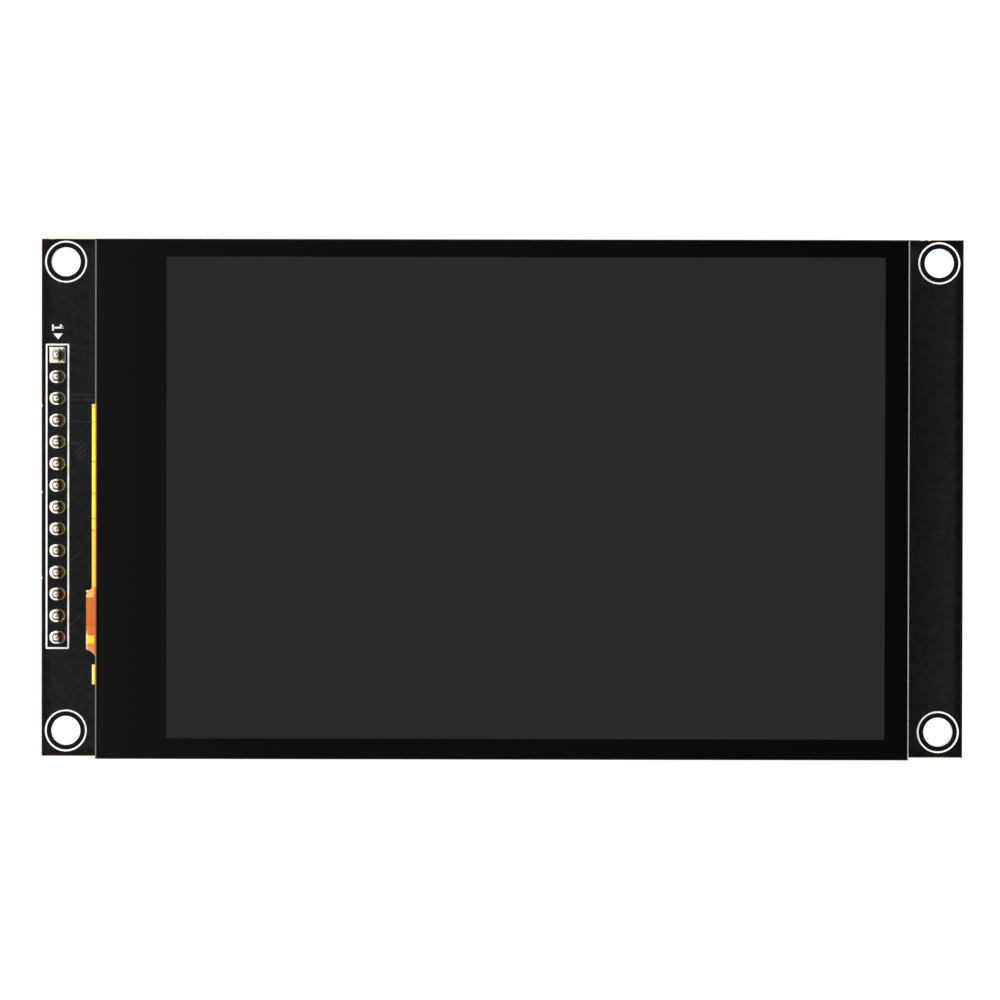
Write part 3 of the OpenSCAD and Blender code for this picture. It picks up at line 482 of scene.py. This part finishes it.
def touch_stops():
    """Amber pads at the lower end, orange film above them, and a pale upper corner."""
    stops = stops_to_metres([
        (-18.0, (206, 140, 80)), (-17.15, (196, 118, 46)), (-17.0, (250, 196, 40)),
        (-16.18, (252, 194, 40)), (-16.12, (178, 92, 30)), (-15.8, ORANGE), (-15.1, (198, 104, 20)),
        (-14.9, (178, 84, 12)), (-14.6, ORANGE), (-14.55, (192, 86, 20)), (-14.2, (212, 88, 26)),
        (-13.8, ORANGE), (-11.75, (190, 100, 26)), (-11.6, (226, 150, 70)), (-11.2, (244, 160, 56))])
    return [(TOUCH_LO.y, (244, 190, 90))] + stops + [(TOUCH_HI.y, (252, 196, 100))]


def flex_material(name, lo, hi, stops, side, reach, strength):
    """A flexible circuit: film colours along Y, fine copper runs, and painted highlights and painted shade
    on its bends.

    Beside the glass it takes the colour side, painted shade from the glass over it, as far as reach, and
    at that strength.
    """
    m = Mat(name, IOR=1.25)
    out = m.minus(GLASS_LO.x, m.x)
    runs = m.smooth(m.math("PINGPONG", m.y, LINE_PITCH / 2), 0.03 * MM, 0.07 * MM)
    film = m.mix(m.times(runs, 0.12), m.ramp(m.y, lo.y, hi.y, stops), linear(150, 90, 40))
    # Painted shade where the film runs in under the glass
    shade = m.smooth(m.x, GLASS_LO.x - reach, GLASS_LO.x - 0.25 * MM, 0.0, strength)
    film = m.mix(shade, film, linear(*side))
    # Painted highlights: pale streaks on the film's outer bend, at its lower end
    streaks = m.smooth(m.noise(1, 2, 0.5, m.stretch((600, 2600, 600))), 0.35, 0.6, 0.2, 1.0)
    bend_highlight = m.times(m.smooth(out, 0.95 * MM, 1.15 * MM), m.smooth(m.y, -15.5 * MM, -15.9 * MM))
    film = m.mix(m.times(bend_highlight, m.times(streaks, 0.85)), film, linear(252, 222, 204))
    crown = m.smooth(m.z, TOUCH_HI.z - 2.2 * MM, TOUCH_HI.z - 1.5 * MM)
    # Painted glint and painted shade on the upper bends of the touch panel's circuit, with a beige patch
    for low_y, high_y, near, colour in TOUCH_BEND_PAINTED_LIGHT:
        patch = m.times(m.between(m.y, low_y, high_y), m.smooth(out, near, near + 0.15 * MM))
        film = m.mix(m.times(patch, crown), film, linear(*colour))
    m.set("Base Color", film)
    m.set("Roughness", 0.42)
    m.bump(runs, 0.012)
    return m.mat


# ---------------------------------------------------------------- every slot's material

MATERIALS = {
    "board": board_material(),
    "header_plastic": speckled("header_nylon", (20, 20, 20), (30, 30, 29), 400, (0.5, 0.65), 0.02),
    "pin_metal": speckled("plated_pins", (196, 166, 96), (226, 200, 134), 900, (0.18, 0.32), 0.003,
                          Metallic=1.0),
    "solder": solder_material(),
    "foam": speckled("closed_foam", (196, 198, 196), (226, 227, 224), 900, (0.85, 0.95), 0.06),
    "steel": speckled("rolled_steel", (176, 178, 180), (200, 201, 202), 260, (0.28, 0.38), 0.0005,
                      grain=(0.08, 0.08, 1), Metallic=1.0),
    "white_plastic": speckled("white_frame", (226, 226, 222), (240, 240, 236), 300, (0.4, 0.5), 0.01),
    "reflector": speckled("reflector_film", (234, 235, 236), (246, 246, 246), 200, (0.2, 0.3), 0.003),
    "clear_plastic": speckled("light_guide_acrylic", (206, 218, 220), (222, 232, 234), 300,
                              (0.06, 0.12), 0.002, Transmission_Weight=0.6, IOR=1.49),
    "led": speckled("led_package", (240, 226, 150), (250, 240, 190), 1200, (0.35, 0.5), 0.01),
    "film": speckled("diffusing_film", (222, 226, 230), (238, 240, 244), 500, (0.3, 0.4), 0.004),
    "black_tape": speckled("black_tape", (18, 18, 18), (30, 30, 30), 500, (0.5, 0.62), 0.01),
    "polarizer": speckled("polarizer_film", (38, 39, 43), (46, 47, 51), 200, (0.16, 0.24), 0.002),
    "panel_glass": speckled("panel_glass", (92, 112, 108), (112, 132, 128), 150, (0.04, 0.1), 0.001,
                            IOR=1.5),
    "cover_glass": cover_material(),
    "silicon": speckled("driver_silicon", (70, 72, 80), (88, 90, 98), 900, (0.1, 0.2), 0.001,
                        Metallic=0.6),
    "adhesive": speckled("clear_adhesive", (60, 62, 62), (76, 78, 78), 200, (0.1, 0.2), 0.002),
    "border_ink": speckled("border_ink", (12, 12, 13), (20, 20, 21), 400, (0.35, 0.5), 0.003),
    "yellow_flex": flex_material("lcd_flex_film", LCD_LO, LCD_HI, lcd_stops(),
                                 side=(244, 160, 30), reach=0.52 * MM, strength=0.5),
    "orange_flex": flex_material("touch_flex_film", TOUCH_LO, TOUCH_HI, touch_stops(),
                                 side=(206, 100, 72), reach=0.36 * MM, strength=0.6),
    "pale_flex": flex_material("backlight_flex_film", BACK_LO, BACK_HI,
                               [(BACK_LO.y, (255, 236, 120)), (BACK_HI.y, (255, 238, 140))],
                               side=(244, 168, 50), reach=0.6 * MM, strength=0.8),
    "chip_plastic": speckled("chip_epoxy", (32, 32, 34), (46, 46, 48), 1500, (0.5, 0.7), 0.012),
    "socket_plastic": speckled("socket_nylon", (28, 28, 30), (40, 40, 42), 700, (0.45, 0.6), 0.01),
    "socket_steel": speckled("stamped_shell", (190, 190, 188), (216, 215, 212), 300, (0.2, 0.34), 0.004,
                             grain=(1, 0.1, 1), Metallic=1.0),
    "contact_metal": speckled("gilded_contacts", (214, 170, 84), (236, 200, 118), 900, (0.2, 0.3),
                              0.002, Metallic=1.0),
    "tinned": speckled("tinned_leads", (196, 196, 196), (224, 223, 220), 1500, (0.22, 0.38), 0.005,
                       Metallic=1.0),
    "resistor_black": speckled("resistor_glaze", (22, 22, 26), (34, 34, 38), 1500, (0.25, 0.4), 0.006),
    "capacitor_tan": speckled("capacitor_ceramic", (168, 134, 98), (188, 154, 116), 1500,
                              (0.35, 0.5), 0.006),
}
SILK = speckled("silkscreen_ink", (236, 236, 232), (252, 252, 250), 1600, (0.5, 0.62), 0.006)
TRACE = trace_material()
REFLOWED = speckled("reflowed_solder", (196, 196, 194), (226, 224, 220), 1800, (0.2, 0.36), 0.008,
                    Metallic=1.0)

# ---------------------------------------------------------------- mesh kit


def piece(name, material, build, smooth=False):
    """A new rigid piece, from a function that adds its faces to a bmesh."""
    bm = bmesh.new()
    build(bm)
    bmesh.ops.recalc_face_normals(bm, faces=bm.faces[:])
    mesh = bpy.data.meshes.new(name)
    bm.to_mesh(mesh)
    bm.free()
    mesh.materials.append(material)
    if smooth:
        mesh.shade_smooth()
    obj = bpy.data.objects.new(name, mesh)
    bpy.context.scene.collection.objects.link(obj)
    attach(obj, "root")
    return obj


def skin(bm, rows):
    """Faces between closed rows of vertices of equal length, one row after another."""
    count = len(rows[0])
    for a, b in zip(rows, rows[1:]):
        for i in range(count):
            bm.faces.new((a[i], a[(i + 1) % count], b[(i + 1) % count], b[i]))


def loft(bm, loops):
    """A solid skinned over closed loops of equal length, with a face at each end."""
    rows = [[bm.verts.new(p) for p in loop] for loop in loops]
    skin(bm, rows)
    bm.faces.new(rows[0][::-1])
    bm.faces.new(rows[-1])


def flat_loop(points, z):
    return [(x, y, z) for x, y in points]


def prism(bm, points, z0, z1):
    loft(bm, [flat_loop(points, z0), flat_loop(points, z1)])


def band(bm, outer, inner, z0, z1):
    """A flat closed band between two loops of equal length."""
    loops = (flat_loop(outer, z0), flat_loop(outer, z1), flat_loop(inner, z1), flat_loop(inner, z0))
    rows = [[bm.verts.new(p) for p in loop] for loop in loops]
    skin(bm, rows + rows[:1])


def turn(sides):
    """The angles of one full turn."""
    return [2 * math.pi * i / sides for i in range(sides)]


def circle(cx, cy, r, sides):
    return [(cx + r * math.cos(a), cy + r * math.sin(a)) for a in turn(sides)]


def ring(bm, cx, cy, outer, inner, z0, z1, sides):
    band(bm, circle(cx, cy, outer, sides), circle(cx, cy, inner, sides), z0, z1)


def rect(x0, y0, x1, y1, grow=0.0):
    """The corners of a rectangle, moved out by grow on every side."""
    return [(x0 - grow, y0 - grow), (x1 + grow, y0 - grow), (x1 + grow, y1 + grow), (x0 - grow, y1 + grow)]


def rounded(corners, r, steps=5):
    """A rectangle from rect() with rounded corners."""
    (x0, y0), _, (x1, y1), _ = corners
    points = []
    for cx, cy, start in ((x1 - r, y1 - r, 0), (x0 + r, y1 - r, 90), (x0 + r, y0 + r, 180),
                          (x1 - r, y0 + r, 270)):
        for i in range(steps + 1):
            a = math.radians(start + 90 * i / steps)
            points.append((cx + r * math.cos(a), cy + r * math.sin(a)))
    return points


def line(points, w):
    """Outline of a polyline of width w, mitred at its corners."""
    left, right = [], []
    for i, p in enumerate(points):
        p = Vector(p)
        before = (p - Vector(points[i - 1])).normalized() if i else None
        after = (Vector(points[i + 1]) - p).normalized() if i + 1 < len(points) else None
        along = ((before or after) + (after or before)).normalized()
        side = Vector((-along.y, along.x))
        half = w / 2
        if before and after:
            half /= max(0.4, abs(side.dot(Vector((-after.y, after.x)))))
        left.append(tuple(p + side * half))
        right.append(tuple(p - side * half))
    return right + left[::-1]


def to_metres(points):
    """Points written in millimetres, as metres."""
    return [(x * MM, y * MM) for x, y in points]


# ---------------------------------------------------------------- front print

INK_T = 0.02 * MM
RING_W = 0.195 * MM
RING_R = 2.445 * MM
BOX_HALF = 1.37 * MM
BOX_TOP = 17.82 * MM
BOX_LOW = -17.86 * MM
BOX_LINE = 0.2 * MM
STROKE_W = 0.22 * MM
# A plain 1, drawn upright round its own middle in millimetres, and where it is printed on its side
ONE = [[(0, -0.58), (0, 0.66)], [(0.06, 0.6), (-0.34, 0.24)], [(-0.36, -0.6), (0.36, -0.6)]]
ONE_X = 0.07
ONE_Y = 19.7
# An arrow to the first pin, from the header's middle in X
ARROW = [(-0.5, 19.02), (0.07, 18.34), (0.64, 19.02)]


def hole_rings(bm, z0, z1):
    for x, y in HOLES:
        ring(bm, x, y, RING_R, RING_R - RING_W, z0, z1, 96)


def arrow(bm, z0, z1):
    prism(bm, [(PIN_X + x * MM, y * MM) for x, y in ARROW], z0, z1)


def front_silk(bm):
    ink = (TOP, TOP + INK_T)
    hole_rings(bm, *ink)
    corners = (PIN_X - BOX_HALF, BOX_LOW, PIN_X + BOX_HALF, BOX_TOP)
    band(bm, rounded(rect(*corners), 0.15 * MM), rounded(rect(*corners, -BOX_LINE), 0.05 * MM), *ink)
    for stroke in ONE:
        prism(bm, line([(PIN_X + (ONE_X + v) * MM, (ONE_Y - u) * MM) for u, v in stroke], STROKE_W), *ink)
    arrow(bm, *ink)


piece("front_silkscreen", SILK, front_silk)

# ---------------------------------------------------------------- copper under the front mask

TRACE_T = 0.012 * MM
TRACE_W = 0.2 * MM
VIA_T = TRACE_T * 1.4
VIA_R, VIA_HOLE = 0.38 * MM, 0.14 * MM
# Polylines in millimetres
FRONT_TRACES = [
    [(-50.4, 11.88), (-47.3, 11.88)],
    [(-50.4, 11.25), (-47.5, 11.25)],
    [(-50.4, 8.73), (-47.7, 8.73)],
    [(-50.9, 6.16), (-49.54, 6.16), (-48.78, 6.92)],
    [(-50.16, 4.77), (-48.77, 6.16)],
    [(-49.82, 4.45), (-48.7, 5.57)],
    [(-49.42, 4.2), (-48.65, 4.97)],
    [(-50.4, -7.5), (-49.2, -6.5)],
    [(-51.1, -15.56), (-49.1, -13.76)],
]
# A copper ring near the right edge
TEST_RING = (51.1 * MM, -4.3 * MM)


def front_traces(bm):
    for points in FRONT_TRACES:
        prism(bm, line(to_metres(points), TRACE_W), TOP, TOP + TRACE_T)
    ring(bm, *TEST_RING, 0.55 * MM, 0.3 * MM, TOP, TOP + TRACE_T, 32)


piece("front_traces", TRACE, front_traces)

# ---------------------------------------------------------------- header joints

PAD_L = SOLDER_HI.x - SOLDER_LO.x
PAD_W = 1.5 * MM
PAD_T = 0.035 * MM
JOINT_H = SOLDER_HI.z - TOP
JOINT_FOOT = 0.985
JOINT_STEPS = 14
JOINT_SIDES = 72
# A joint's neck clears the pin and has a least radius, and its top leans a little, either way
NECK_GAP = 0.03 * MM
NECK_R = 0.36 * MM
CORE_R = 0.2 * MM
LEAN = 0.08
LEAN_ANGLE = 0.6
# The dome on a pin, from its foot up: share of the pin's outline, drop below the pin's top and
# extra width along X, both in millimetres
CAP_RINGS = ((1.02, 0.34, 0.0), (1.04, 0.2, 0.0), (0.96, 0.06, -0.03), (0.78, -0.02, 0.01),
             (0.5, -0.07, 0.035), (0.18, -0.09, 0.045))


def stadium(angle, length, width):
    """Radius at an angle of an oblong with round ends."""
    c, s = abs(math.cos(angle)), abs(math.sin(angle))
    half, off = width / 2, (length - width) / 2
    if s > 1e-6 and half / s * c <= off:
        return half / s
    return off * c + math.sqrt(max(0.0, half * half - (off * s) ** 2))


def square_radius(angle, width, corner=0.88):
    """Radius at an angle of a square with its corners cut back to a share of their distance."""
    c, s = abs(math.cos(angle)), abs(math.sin(angle))
    return min(width / 2 / max(c, s), width / 2 * math.sqrt(2) * corner)


def joint_loops(y, first, h, lean):
    """A solder joint, from its pad up to the pin: square at the first pin, and oblong at the others."""
    angles = turn(JOINT_SIDES)
    pad = [square_radius(a, PAD_L, 0.97) if first else stadium(a, PAD_L, PAD_W) for a in angles]
    neck = [max(square_radius(a, PIN_W) + NECK_GAP, NECK_R) for a in angles]
    loops = [[(PIN_X + r * math.cos(a), y + r * math.sin(a), TOP) for a, r in zip(angles, pad)]]
    for step in range(JOINT_STEPS + 1):
        t = step / JOINT_STEPS
        rise = PAD_T + (h - PAD_T) * (0.3 * t + 0.7 * t ** 5)
        loop = []
        for a, outer, inner in zip(angles, pad, neck):
            r = outer * JOINT_FOOT + (inner - outer * JOINT_FOOT) * t
            tilt = 1 + lean * math.cos(a - LEAN_ANGLE) * t
            loop.append((PIN_X + r * math.cos(a), y + r * math.sin(a), TOP + rise * tilt))
        loops.append(loop)
    core = circle(PIN_X, y, CORE_R, JOINT_SIDES)
    return loops + [flat_loop(core, TOP + h * 0.9)]


def pin_cap(bm, y):
    """Solder that has run over a pin's top, a low dome."""
    loops = []
    for share, drop, wider in CAP_RINGS:
        loops.append([(PIN_X + share * square_radius(a, PIN_W + wider * MM) * math.cos(a),
                       y + share * square_radius(a, PIN_W) * math.sin(a),
                       PINS_HI.z - drop * MM) for a in turn(32)])
    loft(bm, loops)


def header_joints(bm):
    for i, y in enumerate(PIN_YS):
        pin_cap(bm, y)
        h = JOINT_H * (0.9 + 0.1 * rng.random())
        loft(bm, joint_loops(y, i == PIN_COUNT - 1, h, rng.uniform(-LEAN, LEAN)))


joints = piece("header_joints", MATERIALS["solder"], header_joints, smooth=True)
joints.data.polygons.foreach_set("use_smooth", [len(p.vertices) == 4 for p in joints.data.polygons])
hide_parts("header_solder")

# ---------------------------------------------------------------- rear solder

FOOT_L = 0.5 * MM
FOOT_H = 0.13 * MM
# How far solder spreads past a foot, and how much of a chip's end it climbs
WICK = 0.16 * MM
END_SHARE = 0.55
CONTACT_FOOT = 0.8 * MM
TAB_XS = (SOCKET_LO.x + 1.5 * MM, SOCKET_HI.x - 3 * MM)
TAB_HALF = 0.8 * MM
TAB_W = 0.85 * MM
TAB_H = 0.16 * MM


def solder_bed(bm, x0, y0, x1, y1, h):
    """Solder under and round a foot: thin at its rim, curving up to the metal."""
    loops = []
    for grow, z in ((WICK, 0.0), (WICK * 0.97, 0.03 * MM), (WICK * 0.55, 0.05 * MM),
                    (WICK * 0.25, 0.4 * h), (0.01 * MM, 0.9 * h), (-0.03 * MM, h)):
        corners = rect(x0, y0, x1, y1, grow)
        loops.append(flat_loop(rounded(corners, 0.06 * MM + max(0.0, grow) * 0.4), REAR - z))
    loft(bm, loops)


def rear_solder(bm):
    for (x0, x1), (y0, y1), _ in LEADS:
        left = (x0 + x1) / 2 < (SHIFTER_LO.x + SHIFTER_HI.x) / 2
        foot = (x0, x0 + FOOT_L) if left else (x1 - FOOT_L, x1)
        solder_bed(bm, foot[0], y0, foot[1], y1, FOOT_H)
    for (x0, x1), (y0, y1), (z0, _) in TERMINALS:
        solder_bed(bm, x0, y0, x1, y1, (REAR - z0) * END_SHARE)
    for (x0, _), (y0, y1), _ in CONTACTS:
        solder_bed(bm, x0, y0, x0 + CONTACT_FOOT, y1, FOOT_H)
    for x in TAB_XS:
        for y in (SOCKET_LO.y, SOCKET_HI.y - TAB_W):
            solder_bed(bm, x - TAB_HALF, y, x + TAB_HALF, y + TAB_W, TAB_H)


piece("rear_solder", REFLOWED, rear_solder)

# ---------------------------------------------------------------- copper under the rear mask

# Where routes start and end along X, in millimetres: the header, and the two sides of the column of
# resistors, of the level shifter and of the capacitors. The limits tell the chips apart.
HEADER_X = -50.6
COLUMN_X = (-46.9, -45.1)
COLUMN_LIMIT = -44
SHIFTER_X = (-41.48, -34.5)
CAPS_X = (-32.4, -30.0)
CAPS_LIMIT = -33
# Where a route bends for a short and for a long way along Y, and how long each may be
SHORT_BEND, LONG_BEND = -49.6, -50.3
SHORT_WAY, LONGEST_WAY = 1.5, 3.3
# How far a route goes from a lead before it ends in a via
RESISTOR_STUB, SHIFTER_STUB, CONTACT_STUB, CAP_STUB = 0.9, 1.3, 2.0, 1.4
# Widths in millimetres
FINE, SIGNAL, BROAD = 0.16, 0.2, 0.8
# Where the routes to the card socket bend: the first, and the step from one to the next
SOCKET_BEND, BEND_STEP = -26.0, 0.9
# Vias that end no route shown here
SPARE_VIAS = [(-20, 20), (-6, -16), (9, 14), (24, -19), (33, 19), (46, -17), (46, 16), (-24, -20),
              (2, 3), (18, 2), (30, -9), (-14, -6)]


def middle(low, high):
    """Middle of two places in metres, in millimetres."""
    return (low + high) / 2 / MM


def step_route(x0, y0, x1, y1, bend):
    """Level, then at 45 degrees from bend on, then level, from one place to another."""
    across = abs(y1 - y0)
    bend = min(bend, x1 - across)
    return [(x0, y0), (bend, y0), (bend + across, y1), (x1, y1)]


def shifter_leads(on_side):
    """Middle Y of the level shifter's leads on one side, lowest first."""
    return sorted(round(middle(*y), 3) for x, y, _ in LEADS if on_side(x) and y[0] > SHIFTER_LO.y)


def column_copper():
    """Routes and vias, in millimetres, from the header over the resistors to the level shifter."""
    rows = sorted({round(middle(*y), 2) for x, y, _ in TERMINALS if x[1] < COLUMN_LIMIT * MM})
    leads = shifter_leads(lambda x: x[1] < SHIFTER_LO.x + MM)
    pins = [y / MM for y in PIN_YS][-len(rows):]
    routes, vias = [], []
    for row, pin in zip(rows, pins):
        bend = SHORT_BEND if abs(row - pin) < SHORT_WAY else LONG_BEND
        routes.append((step_route(HEADER_X, pin, COLUMN_X[0], row, bend), SIGNAL))
    for row, lead in zip(rows, leads):
        if abs(row - lead) < LONGEST_WAY:
            routes.append((step_route(COLUMN_X[1], row, SHIFTER_X[0], lead, COLUMN_X[1] + 0.2), FINE))
        else:
            end = (COLUMN_X[1] + RESISTOR_STUB, row)
            routes.append(([(COLUMN_X[1], row), end], FINE))
            vias.append(end)
    return routes, vias


def socket_copper():
    """The same from the level shifter to the card socket, and from the leads that end in a via."""
    leads = shifter_leads(lambda x: x[0] > SHIFTER_HI.x - MM)
    contacts = sorted(middle(*y) for _, y, _ in CONTACTS)
    edge = min(x[0] for x, _, _ in CONTACTS) / MM - 0.2
    routes, vias = [], []
    for k, contact in enumerate(contacts[2:]):
        bend = SOCKET_BEND + BEND_STEP * k
        routes.append((step_route(SHIFTER_X[1], leads[k + 2], edge, contact, bend), SIGNAL))
    for lead in leads[:2] + leads[8:]:
        end = (SHIFTER_X[1] + SHIFTER_STUB, lead)
        routes.append(([(SHIFTER_X[1], lead), end], FINE))
        vias.append(end)
    for contact in contacts[:2]:
        end = (edge - CONTACT_STUB, contact)
        routes.append(([(edge, contact), end], SIGNAL))
        vias.append(end)
    return routes, vias


def supply_copper():
    """The same for the regulator, its capacitors and the backlight's transistor."""
    caps = sorted({round(middle(*y), 2) for x, y, _ in TERMINALS if x[0] > CAPS_LIMIT * MM})
    regulator = middle(REGULATOR_LO.y, REGULATOR_HI.y)
    low_lead, high_lead = regulator - 2.3, regulator + 2.3
    backlight = middle(TRANSISTOR_LO.y, TRANSISTOR_HI.y)
    source = backlight - 0.95
    power = regulator + 1.9
    routes = [
        ([(-35.0, low_lead), (-33.4, low_lead), (CAPS_X[0], caps[0])], BROAD),
        ([(-35.0, high_lead), (-33.9, high_lead), (CAPS_X[0], caps[2])], BROAD)]
    routes += [([(CAPS_X[1], y), (CAPS_X[1] + CAP_STUB, y)], 0.6) for y in caps]
    routes += [
        ([(-39.9, backlight), (-43.5, backlight), (-47.0, backlight + 3.5),
          (HEADER_X, PIN_YS[1] / MM + 0.01)], 0.3),
        ([(-36.1, source), (-33.5, source)], 0.25),
        ([(-41.2, regulator), (-45.5, regulator), (-49.0, power), (HEADER_X, power)], 1.0)]
    return routes, [(CAPS_X[1] + CAP_STUB + 0.2, y) for y in caps] + [(-33.5, source)]


def rear_traces(bm):
    vias = []
    for routes, ends in (column_copper(), socket_copper(), supply_copper()):
        for points, width in routes:
            prism(bm, line(to_metres(points), width * MM), REAR, REAR - TRACE_T)
        vias += ends
    for x, y in to_metres(vias + SPARE_VIAS):
        ring(bm, x, y, VIA_R, VIA_HOLE, REAR, REAR - VIA_T, 24)


piece("rear_traces", TRACE, rear_traces)

# ---------------------------------------------------------------- rear print

REAR_INK = (REAR, REAR - INK_T)
REAR_LINE = 0.16 * MM
CHIP_LINE = 0.14 * MM
BODY_GAP = 0.25 * MM
CHIP_GAP = 0.3 * MM
SOCKET_GAP = 0.3 * MM
SOCKET_FRONT = SOCKET_LO.x - 1.6 * MM
SOCKET_INSET = 0.4 * MM
DOT_AT = (SHIFTER_HI.x + 1.5 * MM, SHIFTER_HI.y + 0.5 * MM)
DOT_R = 0.25 * MM
REAR_BOX = (PIN_X - 1.42 * MM, PIN_X + 1.62 * MM)


def bar(bm, x0, y0, x1, y1, w=REAR_LINE):
    prism(bm, line([(x0, y0), (x1, y1)], w), *REAR_INK)


def chip_outlines(bm):
    """A box round each resistor and capacitor, from the pairs of their plated ends."""
    pairs = {}
    for (x0, x1), (y0, y1), _ in TERMINALS:
        pairs.setdefault((round(y0 / MM, 2), x0 < COLUMN_LIMIT * MM), []).append((x0, x1, y0, y1))
    for ends in pairs.values():
        corners = (min(end[0] for end in ends), ends[0][2], max(end[1] for end in ends), ends[0][3])
        band(bm, rect(*corners, CHIP_GAP), rect(*corners, CHIP_GAP - CHIP_LINE), *REAR_INK)


def rear_silk(bm):
    hole_rings(bm, *REAR_INK)
    for lo, hi in ((SHIFTER_LO, SHIFTER_HI), (REGULATOR_LO, REGULATOR_HI), (TRANSISTOR_LO, TRANSISTOR_HI)):
        for y in (lo.y - BODY_GAP, hi.y + BODY_GAP):
            bar(bm, lo.x, y, hi.x, y)
    prism(bm, circle(*DOT_AT, DOT_R, 24), *REAR_INK)
    chip_outlines(bm)
    # Three lines round the card socket
    bar(bm, SOCKET_FRONT, SOCKET_LO.y + SOCKET_INSET, SOCKET_FRONT, SOCKET_HI.y - SOCKET_INSET)
    for y in (SOCKET_LO.y - SOCKET_GAP, SOCKET_HI.y + SOCKET_GAP):
        bar(bm, SOCKET_FRONT, y, SOCKET_HI.x - SOCKET_INSET, y)
    # Three sides of a box round the header
    bar(bm, REAR_BOX[1], BOX_LOW, REAR_BOX[1], BOX_TOP, BOX_LINE)
    for y in (BOX_LOW, BOX_TOP):
        bar(bm, REAR_BOX[0], y, REAR_BOX[1], y, BOX_LINE)
    arrow(bm, *REAR_INK)


piece("rear_silkscreen", SILK, rear_silk)

# ---------------------------------------------------------------- finish the CAD nodes


def finish_cad_nodes():
    slot_of = {part["node"]: part["material_slot"] for part in frame["record"]["subparts"]}
    for name, obj in NODES.items():
        material = MATERIALS[slot_of[name]]
        if obj.material_slots:
            for slot in obj.material_slots:
                slot.material = material
        else:
            obj.data.materials.append(material)


finish_cad_nodes()

# ---------------------------------------------------------------- floor, light, camera

FLOOR_HALF = 2.5
LENS = 147.83
SENSOR = 36
CAMERA_AT = (0.386 * MM, 5.585 * MM, TOP + 480 * MM)
CAMERA_TURN = (-0.7075, 0.0778, 0.1125)


def floor_material():
    """White paper: a lit surface, plus a glow that cameras, gloss and clear parts see."""
    m = Mat("paper_floor")
    paper = m.node("ShaderNodeBsdfDiffuse")
    m.put(paper.inputs["Color"], m.mix(m.noise(8, 2), linear(232, 232, 232), linear(238, 238, 238)))
    shaded = m.node("ShaderNodeBsdfDiffuse")
    shaded.inputs["Color"].default_value = (0.3, 0.3, 0.3, 1)
    glow = m.node("ShaderNodeEmission")
    glow.inputs["Strength"].default_value = 0.8
    both = m.fill(m.node("ShaderNodeAddShader"), (shaded.outputs[0], glow.outputs[0]))
    path = m.node("ShaderNodeLightPath").outputs
    seen = m.math("MAXIMUM", path["Is Camera Ray"],
                  m.math("MAXIMUM", path["Is Glossy Ray"], path["Is Transmission Ray"]))
    pick = m.fill(m.node("ShaderNodeMixShader"), (seen, paper.outputs[0], both))
    m.put(m.tree.nodes["Material Output"].inputs["Surface"], pick)
    return m.mat


def make_floor():
    bm = bmesh.new()
    bmesh.ops.create_grid(bm, x_segments=8, y_segments=8, size=FLOOR_HALF)
    mesh = bpy.data.meshes.new("floor")
    bm.to_mesh(mesh)
    bm.free()
    mesh.materials.append(floor_material())
    floor = bpy.data.objects.new("floor", mesh)
    floor.location.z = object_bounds()[0][2]
    bpy.context.scene.collection.objects.link(floor)


def make_lamp(name, at, size, power):
    """A round lamp that faces the origin."""
    data = bpy.data.lights.new(name, "AREA")
    data.shape = "DISK"
    data.size = size
    data.energy = power
    obj = bpy.data.objects.new(name, data)
    obj.location = at
    obj.rotation_euler = (-Vector(at)).to_track_quat("-Z", "Y").to_euler()
    bpy.context.scene.collection.objects.link(obj)


def make_world():
    """A pale studio: bright round the horizon, most of all at the left, and dim overhead."""
    world = bpy.data.worlds.new("studio")
    bpy.context.scene.world = world
    world.use_nodes = True
    sky = Nodes(world.node_tree)
    x, _, z = sky.split(sky.node("ShaderNodeTexCoord").outputs["Generated"])
    level = sky.times(sky.smooth(z, 0.93, 0.98, 1.0, 0.02), sky.scale(x, -0.25, 0.35, 1.25, 0.14))
    background = sky.tree.nodes["Background"]
    background.inputs["Color"].default_value = (1, 1, 1, 1)
    sky.put(background.inputs["Strength"], level)


def make_camera():
    data = bpy.data.cameras.new("camera")
    data.lens = LENS
    data.sensor_width = SENSOR
    data.clip_start = 0.01
    camera = bpy.data.objects.new("camera", data)
    camera.location = CAMERA_AT
    camera.rotation_euler = [math.radians(angle) for angle in CAMERA_TURN]
    bpy.context.scene.collection.objects.link(camera)
    bpy.context.scene.camera = camera


make_floor()
make_lamp("key_upper_left", (-0.75, 0.5, 0.75), size=0.7, power=8.5)
make_lamp("fill_right", (0.8, -0.35, 0.6), size=0.35, power=8)
make_world()
make_camera()
bpy.context.scene.view_settings.view_transform = "Standard"
